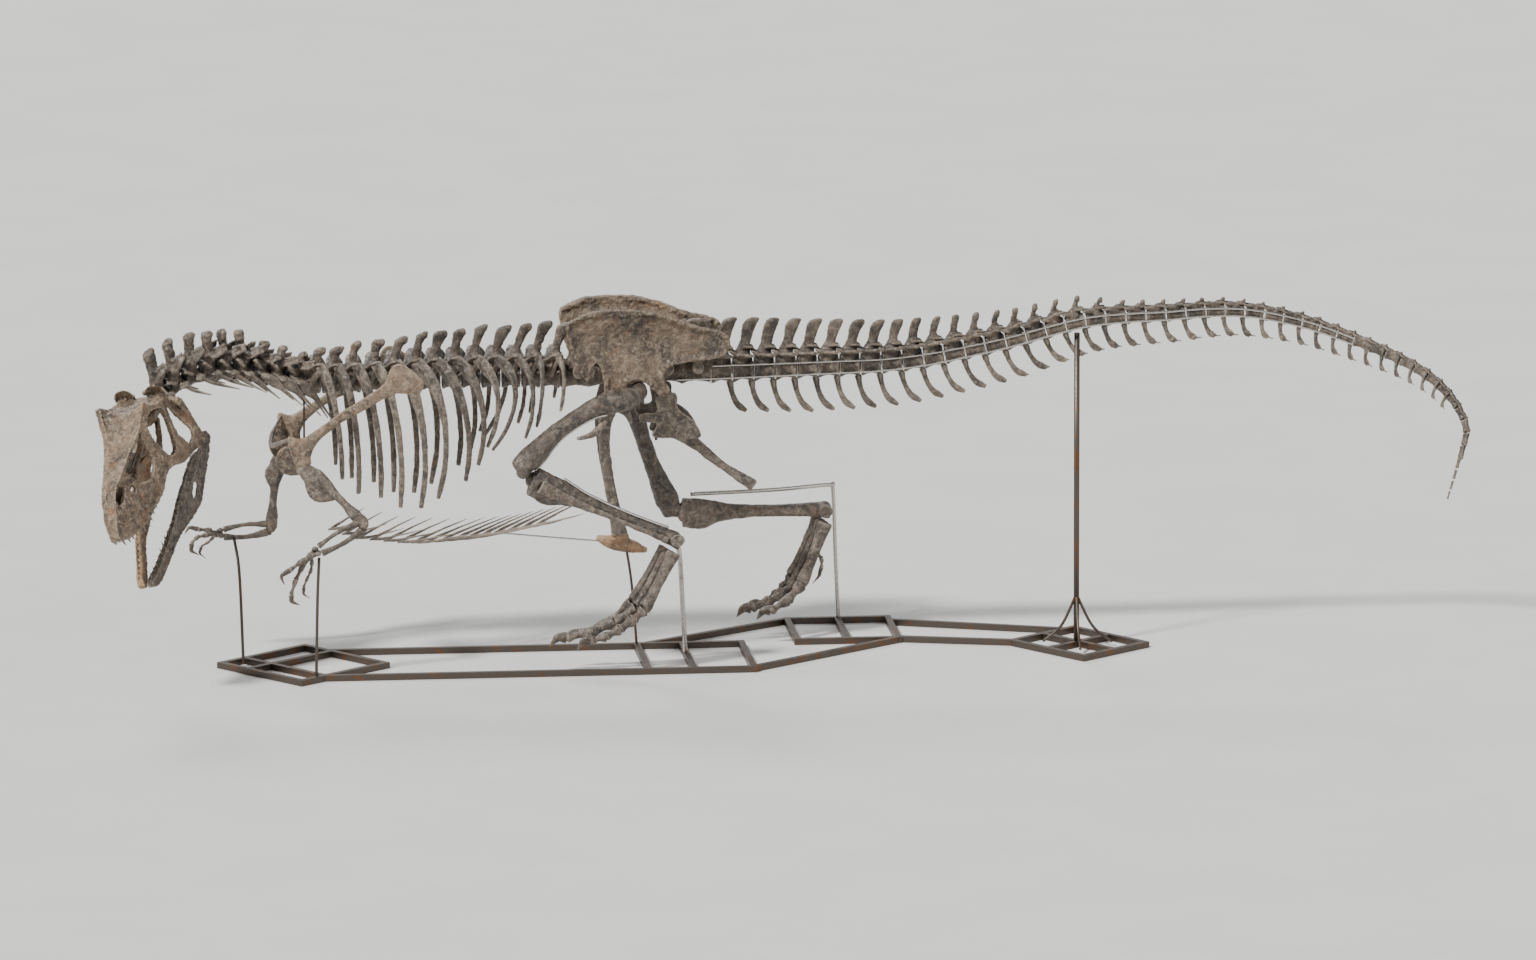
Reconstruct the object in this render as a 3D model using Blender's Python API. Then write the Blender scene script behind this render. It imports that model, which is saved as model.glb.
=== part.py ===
"""A mounted skeleton of a large two-legged meat-eating dinosaur on its welded steel floor frame.

Metres, +Z up. The animal faces -X, its left side faces -Y, and its backbone lies over the X axis
from the shoulders to the middle of the tail. The floor is z = 0 and the origin is the floor under the hips.
"""

import math

import bmesh
import bpy
import numpy as np
from mathutils import Matrix, Vector
from mathutils.geometry import delaunay_2d_cdt

# Driving sizes of the animal
TOUCH_GAP = 0.0003
SKULL_LENGTH = 1.0
HEAD_FORWARD = Vector((-0.392, -0.857, -0.334))
HEAD_ROOF = Vector((-0.357, -0.193, 0.914))
JAW_OPEN = math.radians(24)
JAW_JOINT = Vector((-2.664, -0.259, 1.336))
NECK_COUNT = 9
DORSAL_COUNT = 13
SACRAL_COUNT = 5
TAIL_COUNT = 48
NECK_START_X = -2.742
DORSAL_START_X = -1.90
SACRUM_START_X = -0.445
TAIL_START_X = 0.395
ILIUM_HALF_WIDTH = 0.19

# Driving sizes of the steel
POST_RADIUS = 0.011
FRAME_BAR = 0.035
RAIL_NEAR_Y = -0.50
RAIL_FAR_Y = 0.19

# The run of the backbone, from the back of the skull to the tip of the tail
BACKBONE = [
    (-2.748, -0.338, 1.566),
    (-2.690, -0.300, 1.608),
    (-2.600, -0.260, 1.660),
    (-2.460, -0.190, 1.700),
    (-2.260, -0.100, 1.685),
    (-2.060, -0.040, 1.640),
    (-1.890, -0.010, 1.600),
    (-1.660, 0.000, 1.590),
    (-1.320, 0.000, 1.603),
    (-0.960, 0.000, 1.612),
    (-0.560, 0.000, 1.610),
    (-0.340, 0.000, 1.608),
    (0.280, 0.000, 1.622),
    (0.480, 0.000, 1.625),
    (0.985, 0.000, 1.636),
    (1.490, 0.000, 1.655),
    (2.030, 0.000, 1.748),
    (2.510, 0.000, 1.862),
    (2.960, 0.000, 1.888),
    (3.350, -0.020, 1.905),
    (3.710, -0.080, 1.846),
    (4.030, -0.200, 1.745),
    (4.310, -0.360, 1.632),
    (4.480, -0.500, 1.508),
    (4.570, -0.620, 1.348),
    (4.540, -0.700, 1.206),
    (4.450, -0.800, 0.955),
]

BONE = ("fossil_bone", (0.20, 0.165, 0.135), 0.6, 0.0)
STEEL = ("mount_steel", (0.16, 0.15, 0.14), 0.45, 0.9)


def clear_scene():
    for item in list(bpy.data.objects):
        bpy.data.objects.remove(item)


def material(name, colour, roughness, metallic):
    """A plain shader with the colour of the part."""
    made = bpy.data.materials.get(name)
    if made is None:
        made = bpy.data.materials.new(name)
        made.use_nodes = True
        shader = made.node_tree.nodes["Principled BSDF"]
        shader.inputs["Base Color"].default_value = (*colour, 1.0)
        shader.inputs["Roughness"].default_value = roughness
        shader.inputs["Metallic"].default_value = metallic
    return made


# Curves and frames
def smooth_path(points, count):
    """A Catmull-Rom curve through the points, sampled at even steps of its length."""
    pts = np.array(points, float)
    padded = np.vstack([2 * pts[0] - pts[1], pts, 2 * pts[-1] - pts[-2]])
    dense = []
    for a, b, c, d in zip(padded, padded[1:], padded[2:], padded[3:]):
        for t in np.linspace(0, 1, 24, endpoint=False):
            dense.append(
                0.5 * (2 * b + (c - a) * t + (2 * a - 5 * b + 4 * c - d) * t**2
                       + (3 * b - a - 3 * c + d) * t**3)
            )
    dense = np.array(dense + [pts[-1]])
    length = np.concatenate([[0], np.cumsum(np.linalg.norm(np.diff(dense, axis=0), axis=1))])
    steps = np.linspace(0, length[-1], count)
    return np.column_stack([np.interp(steps, length, dense[:, k]) for k in range(dense.shape[1])])


class Run:
    """The backbone's curve with a frame carried along it without twist."""

    def __init__(self, points, count=900):
        self.points = smooth_path(points, count)
        self.length = np.concatenate(
            [[0], np.cumsum(np.linalg.norm(np.diff(self.points, axis=0), axis=1))]
        )
        tangents = np.gradient(self.points, axis=0)
        self.tangents = tangents / np.linalg.norm(tangents, axis=1)[:, None]
        middle = int(np.argmin(np.abs(self.points[:, 0])))
        ups = np.zeros_like(self.points)
        ups[middle] = (0, 0, 1)
        for order in (range(middle + 1, count), range(middle - 1, -1, -1)):
            step = 1 if order.step > 0 else -1
            for k in order:
                up = ups[k - step]
                up = up - self.tangents[k] * (up @ self.tangents[k])
                ups[k] = up / np.linalg.norm(up)
        ups[middle] -= self.tangents[middle] * (ups[middle] @ self.tangents[middle])
        self.ups = ups

    def at_x(self, x):
        """The length along the curve where it first passes x."""
        return float(np.interp(x, self.points[:600, 0], self.length[:600]))

    def frame(self, s):
        """Centre, tangent towards the tail, left and up at the length s."""
        pick = lambda rows: Vector([float(np.interp(s, self.length, rows[:, k])) for k in range(3)])
        centre = pick(self.points)
        tangent = pick(self.tangents).normalized()
        up = pick(self.ups)
        up = (up - tangent * up.dot(tangent)).normalized()
        left = tangent.cross(up).normalized() * -1.0
        return centre, tangent, -left, up

    def place(self, s, along, left, up):
        """A point given by its offsets from the curve at s."""
        c, t, l, u = self.frame(s)
        return c + t * along + l * left + u * up


# Closed shapes, each a list of points and a list of faces
def ring(centre, side, up, half_side, half_up, sides, turn=0.0):
    step = 2 * math.pi / sides
    return [
        Vector(centre) + side * (half_side * math.cos(step * k + turn))
        + up * (half_up * math.sin(step * k + turn))
        for k in range(sides)
    ]


def loft(rings):
    """A closed skin over rings with the same number of points."""
    sides = len(rings[0])
    points = [p for loop in rings for p in loop]
    faces = [tuple(range(sides))[::-1]]
    for row in range(len(rings) - 1):
        for k in range(sides):
            a, b = row * sides + k, row * sides + (k + 1) % sides
            faces.append((a, b, b + sides, a + sides))
    faces.append(tuple(range(len(points) - sides, len(points))))
    return points, faces


def tube(path, half_side, half_up, sides=6, side_hint=(0, 1, 0), turn=0.0):
    """A skin along the path whose two half sizes are read from short lists."""
    pts = [Vector(p) for p in path]
    shares = np.linspace(0, 1, len(pts))
    wide = np.interp(shares, np.linspace(0, 1, len(half_side)), half_side)
    tall = np.interp(shares, np.linspace(0, 1, len(half_up)), half_up)
    rings = []
    hint = Vector(side_hint)
    for k, p in enumerate(pts):
        tangent = (pts[min(k + 1, len(pts) - 1)] - pts[max(k - 1, 0)]).normalized()
        side = hint - tangent * hint.dot(tangent)
        side.normalize()
        rings.append(ring(p, side, tangent.cross(side), wide[k], tall[k], sides, turn))
    return loft(rings)


def bent(points, count, half_side, half_up, sides=6, side_hint=(0, 1, 0), turn=0.0):
    """A tube along a smooth curve through the points."""
    return tube(smooth_path(points, count), half_side, half_up, sides, side_hint, turn)


def inside(point, polygon):
    """True when the flat point lies in the polygon."""
    crossings = 0
    for k in range(len(polygon)):
        a, b = polygon[k - 1], polygon[k]
        if (a[1] > point[1]) != (b[1] > point[1]):
            crossings += point[0] < a[0] + (b[0] - a[0]) * (point[1] - a[1]) / (b[1] - a[1])
    return crossings % 2 == 1


def plate(outline, holes, place, half_thickness):
    """A plate with holes. place maps a flat point to space and half_thickness gives its offset."""
    flat = [Vector(p) for p in outline]
    edges = [(k, (k + 1) % len(outline)) for k in range(len(outline))]
    for hole in holes:
        start = len(flat)
        flat += [Vector(p) for p in hole]
        edges += [(start + k, start + (k + 1) % len(hole)) for k in range(len(hole))]
    made = delaunay_2d_cdt(flat, edges, [], 1, 1e-6)
    corners, faces = made[0], []
    for face in made[2]:
        middle = sum((corners[k] for k in face), Vector((0, 0))) / len(face)
        if not any(inside(middle, hole) for hole in holes):
            faces.append(tuple(face))
    front, back = [], []
    for p in corners:
        centre, offset = place(p.x, p.y), half_thickness(p.x, p.y)
        front.append(centre + offset)
        back.append(centre - offset)
    count = len(corners)
    skin = list(faces) + [tuple(k + count for k in reversed(f)) for f in faces]
    used = {}
    for face in faces:
        for a, b in zip(face, face[1:] + face[:1]):
            used[(a, b)] = True
    for a, b in used:
        if (b, a) not in used:
            skin.append((b, a, a + count, b + count))
    return front + back, skin


def box_bar(start, end, width, height):
    """A straight bar of square section between two points of the floor."""
    a, b = Vector(start), Vector(end)
    along = (b - a).normalized()
    side = along.cross(Vector((0, 0, 1))).normalized() * (width / 2)
    rise = Vector((0, 0, height / 2))
    rings = [[p + side + rise, p - side + rise, p - side - rise, p + side - rise] for p in (a, b)]
    return loft(rings)


def mirrored(shape):
    """The same shape on the animal's right."""
    points, faces = shape
    return [Vector((p.x, -p.y, p.z)) for p in points], [tuple(reversed(f)) for f in faces]


# Nodes
def piece(name, shape, finish):
    """An object made from points and faces, with its faces turned outwards."""
    points, faces = shape
    mesh = bpy.data.meshes.new(name)
    mesh.from_pydata([tuple(p) for p in points], [], faces)
    work = bmesh.new()
    work.from_mesh(mesh)
    bmesh.ops.triangulate(work, faces=[f for f in work.faces if len(f.verts) > 4])
    bmesh.ops.recalc_face_normals(work, faces=work.faces)
    if work.calc_volume(signed=True) < 0:
        bmesh.ops.reverse_faces(work, faces=work.faces)
    work.to_mesh(mesh)
    work.free()
    mesh.materials.append(material(*finish))
    made = bpy.data.objects.new(name, mesh)
    bpy.context.scene.collection.objects.link(made)
    return made


def apply_modifiers(obj):
    graph = bpy.context.evaluated_depsgraph_get()
    mesh = bpy.data.meshes.new_from_object(obj.evaluated_get(graph))
    obj.modifiers.clear()
    old = obj.data
    obj.data = mesh
    bpy.data.meshes.remove(old)


def cut_to_triangles(work, mesh):
    """Loads the mesh cut into triangles, in a way that gives no edge a third face."""
    for way in ("BEAUTY", "EAR_CLIP"):
        work.clear()
        work.from_mesh(mesh)
        bmesh.ops.triangulate(work, faces=work.faces, ngon_method=way)
        if all(len(edge.link_faces) == 2 for edge in work.edges):
            return


def keep_largest(obj):
    """Drops every closed surface of the node but its largest."""
    work = bmesh.new()
    cut_to_triangles(work, obj.data)
    bmesh.ops.remove_doubles(work, verts=work.verts, dist=2e-5)
    bmesh.ops.dissolve_degenerate(work, edges=work.edges, dist=2e-5)
    bmesh.ops.triangulate(work, faces=work.faces)
    left, groups = set(work.faces), []
    while left:
        stack, group = [left.pop()], []
        while stack:
            face = stack.pop()
            group.append(face)
            for edge in face.edges:
                for other in edge.link_faces:
                    if other in left:
                        left.discard(other)
                        stack.append(other)
        volume = 0.0
        for face in group:
            a, b, c = (v.co for v in face.verts)
            volume += a.dot(b.cross(c))
        groups.append((volume, len(groups), group))
    groups.sort()
    for volume, order, group in groups[:-1]:
        bmesh.ops.delete(work, geom=group, context="FACES")
    bmesh.ops.delete(work, geom=[v for v in work.verts if not v.link_faces], context="VERTS")
    work.to_mesh(obj.data)
    work.free()


def fuse(name, shapes, finish, solver="EXACT", keep=1.0):
    """One node joined from closed shapes by a Boolean union on their collection.

    keep is the share of the triangles that stays after the smallest ones are merged.
    """
    base = piece(name, shapes[0], finish)
    if len(shapes) > 1:
        group = bpy.data.collections.new(name + "_pieces")
        others = [piece(f"{name}_piece_{k}", s, finish) for k, s in enumerate(shapes[1:])]
        for other in others:
            bpy.context.scene.collection.objects.unlink(other)
            group.objects.link(other)
        join = base.modifiers.new("join", "BOOLEAN")
        join.operation = "UNION"
        join.operand_type = "COLLECTION"
        join.collection = group
        join.solver = solver
        bpy.context.view_layer.update()
        apply_modifiers(base)
        for other in others:
            bpy.data.objects.remove(other)
        bpy.data.collections.remove(group)
    keep_largest(base)
    if keep < 1.0:
        thin = base.modifiers.new("thin", "DECIMATE")
        thin.ratio = keep
        thin.use_collapse_triangulate = True
        bpy.context.view_layer.update()
        apply_modifiers(base)
    return base


def carve(obj, neighbours, gap=TOUCH_GAP):
    """Cuts the node back from its neighbours, so that it meets them with a thin gap."""
    for other in neighbours:
        cutter = other.copy()
        cutter.data = other.data.copy()
        bpy.context.scene.collection.objects.link(cutter)
        grow = cutter.modifiers.new("grow", "DISPLACE")
        grow.strength = gap
        grow.mid_level = 0
        cut = obj.modifiers.new("cut", "BOOLEAN")
        cut.operation = "DIFFERENCE"
        cut.solver = "EXACT"
        cut.object = cutter
        bpy.context.view_layer.update()
        apply_modifiers(obj)
        bpy.data.objects.remove(cutter)
    keep_largest(obj)
    return obj


def cut_away(obj, low, high):
    """Cuts the node back by a box given by two corners."""
    foot = ((low[0], low[1]), (high[0], low[1]), (high[0], high[1]), (low[0], high[1]))
    corners = [[Vector((x, y, z)) for x, y in foot] for z in (low[2], high[2])]
    cutter = piece(obj.name + "_cutter", loft(corners), BONE)
    cut = obj.modifiers.new("cut", "BOOLEAN")
    cut.operation = "DIFFERENCE"
    cut.solver = "EXACT"
    cut.object = cutter
    bpy.context.view_layer.update()
    apply_modifiers(obj)
    bpy.data.objects.remove(cutter)
    keep_largest(obj)


RUN = None


def at(n, places, values):
    """The value at n on a line through the values at those places."""
    return float(np.interp(n, places, values))


# Vertebrae
def column(stations, radii, rim_share, sides):
    """The row of spool-shaped centra as one skin: a rim at each joint and a waist between."""
    rings = []
    for k, s in enumerate(stations):
        centre, tangent, left, up = RUN.frame(s)
        rings.append(ring(centre, left, up, radii[k], radii[k] * 1.05, sides))
        if k + 1 < len(stations):
            centre, tangent, left, up = RUN.frame((s + stations[k + 1]) / 2)
            waist = rim_share * (radii[k] + radii[k + 1]) / 2
            rings.append(ring(centre, left, up, waist, waist * 1.05, sides))
    return loft(rings)


def block(s, stages):
    """A four-sided post on the backbone: stages give (up, along, half length, half width)."""
    rings = []
    for rise, shift, half_length, half_width in stages:
        corners = [(-1, -1), (1, -1), (1, 1), (-1, 1)]
        rings.append([
            RUN.place(s, shift + half_length * a, half_width * b, rise) for a, b in corners
        ])
    return loft(rings)


def wing(s, reach, rise, sweep, root_rise, half_length, half_height):
    """A transverse process to the left or right, by the sign of reach."""
    side = 1 if reach > 0 else -1
    rings = []
    for share, size in ((0.0, 1.0), (1.0, 0.62)):
        out = side * 0.012 + (reach - side * 0.012) * share
        up = root_rise + (rise - root_rise) * share
        shift = sweep * share
        corners = [(-1, -1), (1, -1), (1, 1), (-1, 1)]
        rings.append([
            RUN.place(s, shift + a * half_length * size, out, up + b * half_height * size)
            for a, b in corners
        ])
    return loft(rings)


def chevron(s, radius, length, sweep, foot):
    """The blade that hangs under a tail vertebra, with its foot at the end."""
    stages = [
        (-radius * 0.55, 0.0, 0.017, 0.017),
        (-radius - length * 0.60, sweep * 0.42, 0.014, 0.011),
        (-radius - length, sweep, 0.014 + foot * 0.6, 0.008),
    ]
    return block(s, stages)


def tail_sizes(n):
    """Sizes of the tail vertebra n."""
    rise_places = [0, 5, 9, 14, 17, 19, 26, 36, 42]
    rises = [0.300, 0.265, 0.235, 0.175, 0.150, 0.098, 0.070, 0.048, 0.030]
    radii = [0.070, 0.064, 0.054, 0.043, 0.032, 0.022, 0.007]
    return {
        "radius": at(n, [0, 6, 12, 20, 30, 38, 47], radii),
        "rise": at(n, rise_places, rises),
        "lean": at(n, [0, 8, 16, 20, 36], [0.050, 0.045, 0.030, 0.040, 0.030]),
        "half": at(n, [0, 5, 10, 17, 30], [0.038, 0.036, 0.025, 0.018, 0.014]),
        "wing": at(n, [0, 4, 12, 16], [0.190, 0.170, 0.100, 0.065]),
        "chevron": at(n, [0, 3, 12, 18, 28, 38], [0.170, 0.190, 0.170, 0.125, 0.085, 0.050]),
        "foot": at(n, [0, 12, 22, 38], [0.002, 0.008, 0.020, 0.012]),
    }


def tail_stations():
    """Lengths along the backbone of the joints between the tail vertebrae."""
    start, end = RUN.at_x(TAIL_START_X), float(RUN.length[-1]) - 0.004
    pitch = np.interp(range(TAIL_COUNT), [0, 12, 26, 36, 47], [0.128, 0.124, 0.116, 0.098, 0.062])
    joints = np.concatenate([[0], np.cumsum(pitch)])
    return start + joints * (end - start) / joints[-1]


def tail_node(name, first, last, sides):
    joints = tail_stations()
    gap = TOUCH_GAP / 2
    ends = list(joints[first:last + 2])
    ends[0] += gap
    ends[-1] -= gap
    radii = [tail_sizes(first + k)["radius"] for k in range(len(ends))]
    shapes = [column(ends, radii, 0.80, sides)]
    for n in range(first, last + 1):
        size = tail_sizes(n)
        mid, radius = (joints[n] + joints[n + 1]) / 2, size["radius"]
        span = (joints[n + 1] - joints[n]) / 2
        if n < 43:
            arch = radius + (size["rise"] - radius) * 0.36
            shapes.append(block(mid, [
                (radius * 0.45, 0.0, span * 0.72, radius * 0.50),
                (arch, size["lean"] * 0.30, size["half"] * 1.10, 0.015),
                (size["rise"], size["lean"], size["half"] * 1.05, 0.011),
            ]))
        if n < 17:
            for side in (1, -1):
                reach = side * size["wing"]
                shapes.append(wing(mid, reach, radius + 0.035, 0.03, radius * 0.75, 0.032, 0.013))
        if n < 39:
            root = joints[n + 1] - (0.022 if n < last else 0.030)
            length = size["chevron"]
            shapes.append(chevron(root, radius, length, length * 0.55, size["foot"]))
    return fuse(name, shapes, BONE, keep=0.66)


def dorsal_sizes(n):
    """Sizes of the trunk vertebra n."""
    return {
        "radius": at(n, [0, 12], [0.050, 0.064]),
        "rise": at(n, [0, 3, 6, 9, 12], [0.210, 0.245, 0.275, 0.298, 0.315]),
        "lean": at(n, [0, 5, 12], [0.030, 0.060, 0.075]),
        "half": at(n, [0, 12], [0.024, 0.030]),
        "wing": at(n, [0, 4, 12], [0.130, 0.165, 0.150]),
    }


def trunk_joints():
    return np.linspace(RUN.at_x(DORSAL_START_X), RUN.at_x(SACRUM_START_X), DORSAL_COUNT + 1)


# Each left rib: lower end's x, half width there and height, widest half width, bow to the rear
RIBS = [
    (-1.690, 0.205, 1.085, 0.215, 0.030),
    (-1.600, 0.215, 1.005, 0.240, 0.036),
    (-1.475, 0.215, 0.980, 0.262, 0.040),
    (-1.365, 0.215, 0.920, 0.275, 0.050),
    (-1.250, 0.215, 0.915, 0.282, 0.075),
    (-1.155, 0.215, 0.965, 0.285, 0.092),
    (-1.000, 0.220, 1.065, 0.285, 0.080),
    (-0.930, 0.225, 1.155, 0.280, 0.078),
    (-0.880, 0.225, 1.255, 0.272, 0.080),
    (-0.850, 0.220, 1.235, 0.262, 0.100),
    (-0.665, 0.215, 1.300, 0.250, 0.058),
    (-0.600, 0.205, 1.360, 0.235, 0.020),
    (-0.465, 0.190, 1.445, 0.210, 0.020),
]


def rib(n, side, count, sides):
    """Rib n on one side: side is 1 for the left, which is -Y."""
    size = dorsal_sizes(n)
    mid = float(np.mean(trunk_joints()[n:n + 2]))
    end_x, end_half, end_z, widest, bow = RIBS[n]
    tip = RUN.place(mid, 0.030, size["wing"] * 0.90, size["radius"] + 0.082)
    stages = [
        (0.07, 0.45, widest * 0.82),
        (0.22, 0.85, widest * 0.96),
        (0.45, 1.00, widest),
        (0.74, 0.70, (widest + end_half) / 2),
        (1.00, 0.00, end_half),
    ]
    path = [tuple(tip)]
    for share, back, half in stages:
        x = tip.x + (end_x - tip.x) * share + bow * back
        path.append((x, -half, tip.z + (end_z - tip.z) * share))
    wide = at(n, [0, 3, 4, 6, 8, 10, 12], [0.024, 0.026, 0.033, 0.032, 0.028, 0.021, 0.015])
    low = at(n, [0, 3, 6, 9, 12], [0.016, 0.018, 0.017, 0.013, 0.012])
    made = bent(path, count, [0.013, 0.013, 0.011, 0.010, 0.009],
                [wide * 0.9, wide, wide * 0.7, low, low * 0.8], sides, (0.2, 1.0, 0.2))
    return made if side > 0 else mirrored(made)


def rib_cage(name, side):
    """One side of the trunk: half of each trunk vertebra with the ribs of that side."""
    joints = trunk_joints()
    ends = list(joints)
    ends[0] += TOUCH_GAP / 2
    ends[-1] -= TOUCH_GAP / 2
    radii = [dorsal_sizes(k)["radius"] for k in range(DORSAL_COUNT + 1)]
    shapes = [column(ends, radii, 0.82, 6)]
    for n in range(DORSAL_COUNT):
        size = dorsal_sizes(n)
        mid, span = (joints[n] + joints[n + 1]) / 2, (joints[n + 1] - joints[n]) / 2
        radius = size["radius"]
        shapes.append(block(mid, [
            (radius * 0.45, 0.0, span * 0.75, radius * 0.55),
            (radius + 0.070, 0.012, span * 0.62, 0.020),
            (size["rise"], size["lean"], size["half"] * 1.15, 0.014),
        ]))
        reach = side * size["wing"]
        shapes.append(wing(mid, reach, radius + 0.085, 0.03, radius + 0.020, 0.040, 0.012))
        shapes.append(rib(n, side, 7, 4))
    made = fuse(name, shapes, BONE, keep=0.58)
    far = [-3.0, -TOUCH_GAP / 2, 0.0], [1.0, 1.0, 3.0]
    if side < 0:
        far = [-3.0, -1.0, 0.0], [1.0, TOUCH_GAP / 2, 3.0]
    cut_away(made, *far)
    return made


def neck_sizes(n):
    """Sizes of the neck vertebra n, counted from the skull."""
    rises = [0.295, 0.285, 0.262, 0.245, 0.250, 0.245, 0.195, 0.190, 0.175]
    leans = [0.050, 0.043, 0.038, -0.012, -0.050, -0.055, -0.005, 0.000, 0.022]
    ribs = [0.060, 0.150, 0.220, 0.190, 0.180, 0.240, 0.260]
    return {
        "radius": at(n, [0, 3, 8], [0.036, 0.044, 0.052]),
        "rise": at(n, range(NECK_COUNT), rises),
        "lean": at(n, range(NECK_COUNT), leans),
        "half": at(n, [0, 1, 4, 8], [0.038, 0.031, 0.027, 0.021]),
        "wing": at(n, [0, 8], [0.075, 0.105]),
        "rib": at(n, [0, 1, 2, 4, 5, 6, 8], ribs),
        "drop": at(n, [0, 3, 5, 8], [0.03, 0.07, 0.13, 0.23]),
    }


def neck_joints():
    return np.linspace(RUN.at_x(NECK_START_X), RUN.at_x(DORSAL_START_X), NECK_COUNT + 1)


def neck_node():
    joints = neck_joints()
    ends = list(joints)
    ends[-1] -= TOUCH_GAP / 2
    radii = [neck_sizes(k)["radius"] for k in range(NECK_COUNT + 1)]
    shapes = [column(ends, radii, 0.80, 6)]
    for n in range(NECK_COUNT):
        size = neck_sizes(n)
        mid, span = (joints[n] + joints[n + 1]) / 2, (joints[n + 1] - joints[n]) / 2
        radius = size["radius"]
        shapes.append(block(mid, [
            (radius * 0.45, 0.0, span * 0.80, radius * 0.62),
            (radius + 0.080, size["lean"] * 0.3, span * 0.66, 0.032),
            (size["rise"], size["lean"], size["half"], 0.018),
        ]))
        for side in (1, -1):
            reach = side * size["wing"]
            shapes.append(wing(mid, reach, radius * 0.2, 0.030, radius * 0.9, 0.036, 0.018))
            start = RUN.place(mid, 0.020, side * size["wing"] * 0.92, radius * 0.2)
            path = [
                start + Vector((0, 0, 0.012)),
                start + Vector((size["rib"] * 0.35, 0, -0.012 - size["drop"] * 0.35)),
                start + Vector((size["rib"] * math.cos(size["drop"] * 3), 0, -size["drop"] - 0.01)),
            ]
            shapes.append(bent(path, 3, [0.014, 0.007, 0.003], [0.022, 0.011, 0.003], 4))
    return fuse("neck", shapes, BONE, keep=0.66)


def sacrum_node():
    """The fused hip vertebrae with their side struts, closed by one low plate of spines."""
    joints = np.linspace(RUN.at_x(SACRUM_START_X), RUN.at_x(TAIL_START_X), SACRAL_COUNT + 1)
    ends = list(joints)
    ends[0] += TOUCH_GAP / 2
    ends[-1] -= TOUCH_GAP / 2
    shapes = [column(ends, [0.064, 0.060, 0.058, 0.058, 0.062, 0.069], 0.84, 8)]
    for n in range(SACRAL_COUNT):
        mid, span = (joints[n] + joints[n + 1]) / 2, (joints[n + 1] - joints[n]) / 2
        shapes.append(block(mid, [
            (0.030, 0.0, span * 0.80, 0.034),
            (0.130, 0.01, span * 0.70, 0.022),
            (0.300, 0.02, span * 0.62, 0.016),
        ]))
        for side in (1, -1):
            reach = side * (ILIUM_HALF_WIDTH - 0.003)
            shapes.append(wing(mid, reach, 0.060, 0.0, 0.030, 0.040, 0.045))
    return fuse("sacrum", shapes, BONE, keep=0.65)


# Skull
def head_matrix():
    """Skull axes from the jaw joint: +x to the snout, +y to its left, +z out of the roof."""
    forward = HEAD_FORWARD.normalized()
    roof = (HEAD_ROOF - forward * HEAD_ROOF.dot(forward)).normalized()
    left = roof.cross(forward)
    axes = Matrix((forward, left, roof)).transposed() * SKULL_LENGTH
    return Matrix.Translation(JAW_JOINT) @ axes.to_4x4()


def moved(shape, matrix):
    points, faces = shape
    return [matrix @ p for p in points], faces


SKULL_SIDE = [
    (1.005, -0.060), (1.010, 0.000), (0.985, 0.060), (0.945, 0.120), (0.900, 0.172), (0.850, 0.205),
    (0.766, 0.235), (0.640, 0.285), (0.565, 0.315), (0.500, 0.350), (0.450, 0.405), (0.395, 0.465),
    (0.345, 0.415), (0.270, 0.385), (0.160, 0.355), (0.085, 0.330), (0.030, 0.250), (0.015, 0.120),
    (-0.020, 0.030), (-0.045, -0.030), (0.000, -0.060), (0.070, -0.035), (0.150, -0.020), (0.262, -0.015),
    (0.350, 0.020), (0.430, 0.020), (0.522, -0.045), (0.620, -0.075), (0.750, -0.100), (0.886, -0.095),
    (0.961, -0.080),
]
NOSTRIL = [(0.900, 0.150), (0.850, 0.178), (0.800, 0.165), (0.808, 0.135), (0.850, 0.108), (0.892, 0.104)]
CHEEK_WINDOW = [
    (0.490, 0.330), (0.545, 0.285), (0.620, 0.250), (0.690, 0.218), (0.690, 0.180), (0.640, 0.110),
    (0.580, 0.080), (0.520, 0.098), (0.492, 0.150), (0.490, 0.210), (0.503, 0.275),
]
FRONT_WINDOW = [(0.755, 0.115), (0.720, 0.130), (0.705, 0.100), (0.735, 0.085)]
EYE_WINDOW = [
    (0.385, 0.370), (0.425, 0.320), (0.425, 0.260), (0.398, 0.181), (0.370, 0.122), (0.329, 0.085),
    (0.280, 0.105), (0.258, 0.160), (0.245, 0.236), (0.245, 0.320), (0.300, 0.350),
]
TEMPLE_WINDOW = [
    (0.150, 0.290), (0.110, 0.270), (0.090, 0.190), (0.060, 0.100), (0.070, 0.055), (0.135, 0.040),
    (0.163, 0.088), (0.190, 0.140), (0.185, 0.230),
]
SKULL_HOLES = [NOSTRIL, CHEEK_WINDOW, FRONT_WINDOW, EYE_WINDOW, TEMPLE_WINDOW]
SKULL_HALF_X = [-0.05, 0.00, 0.20, 0.40, 0.60, 0.80, 0.95, 1.01]
SKULL_HALF_Y = [0.185, 0.192, 0.180, 0.145, 0.108, 0.068, 0.042, 0.014]
ROOF_HALF = [
    (0.985, 0.012), (0.930, 0.030), (0.840, 0.034), (0.766, 0.050), (0.646, 0.072), (0.564, 0.090),
    (0.498, 0.110), (0.420, 0.140), (0.386, 0.150), (0.330, 0.142), (0.270, 0.165), (0.160, 0.140),
    (0.080, 0.105),
]
ROOF_X = [0.05, 0.16, 0.27, 0.33, 0.386, 0.498, 0.564, 0.646, 0.766, 0.84, 0.93, 0.985]
ROOF_Z = [0.315, 0.345, 0.365, 0.385, 0.400, 0.333, 0.298, 0.270, 0.220, 0.190, 0.125, 0.050]


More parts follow.
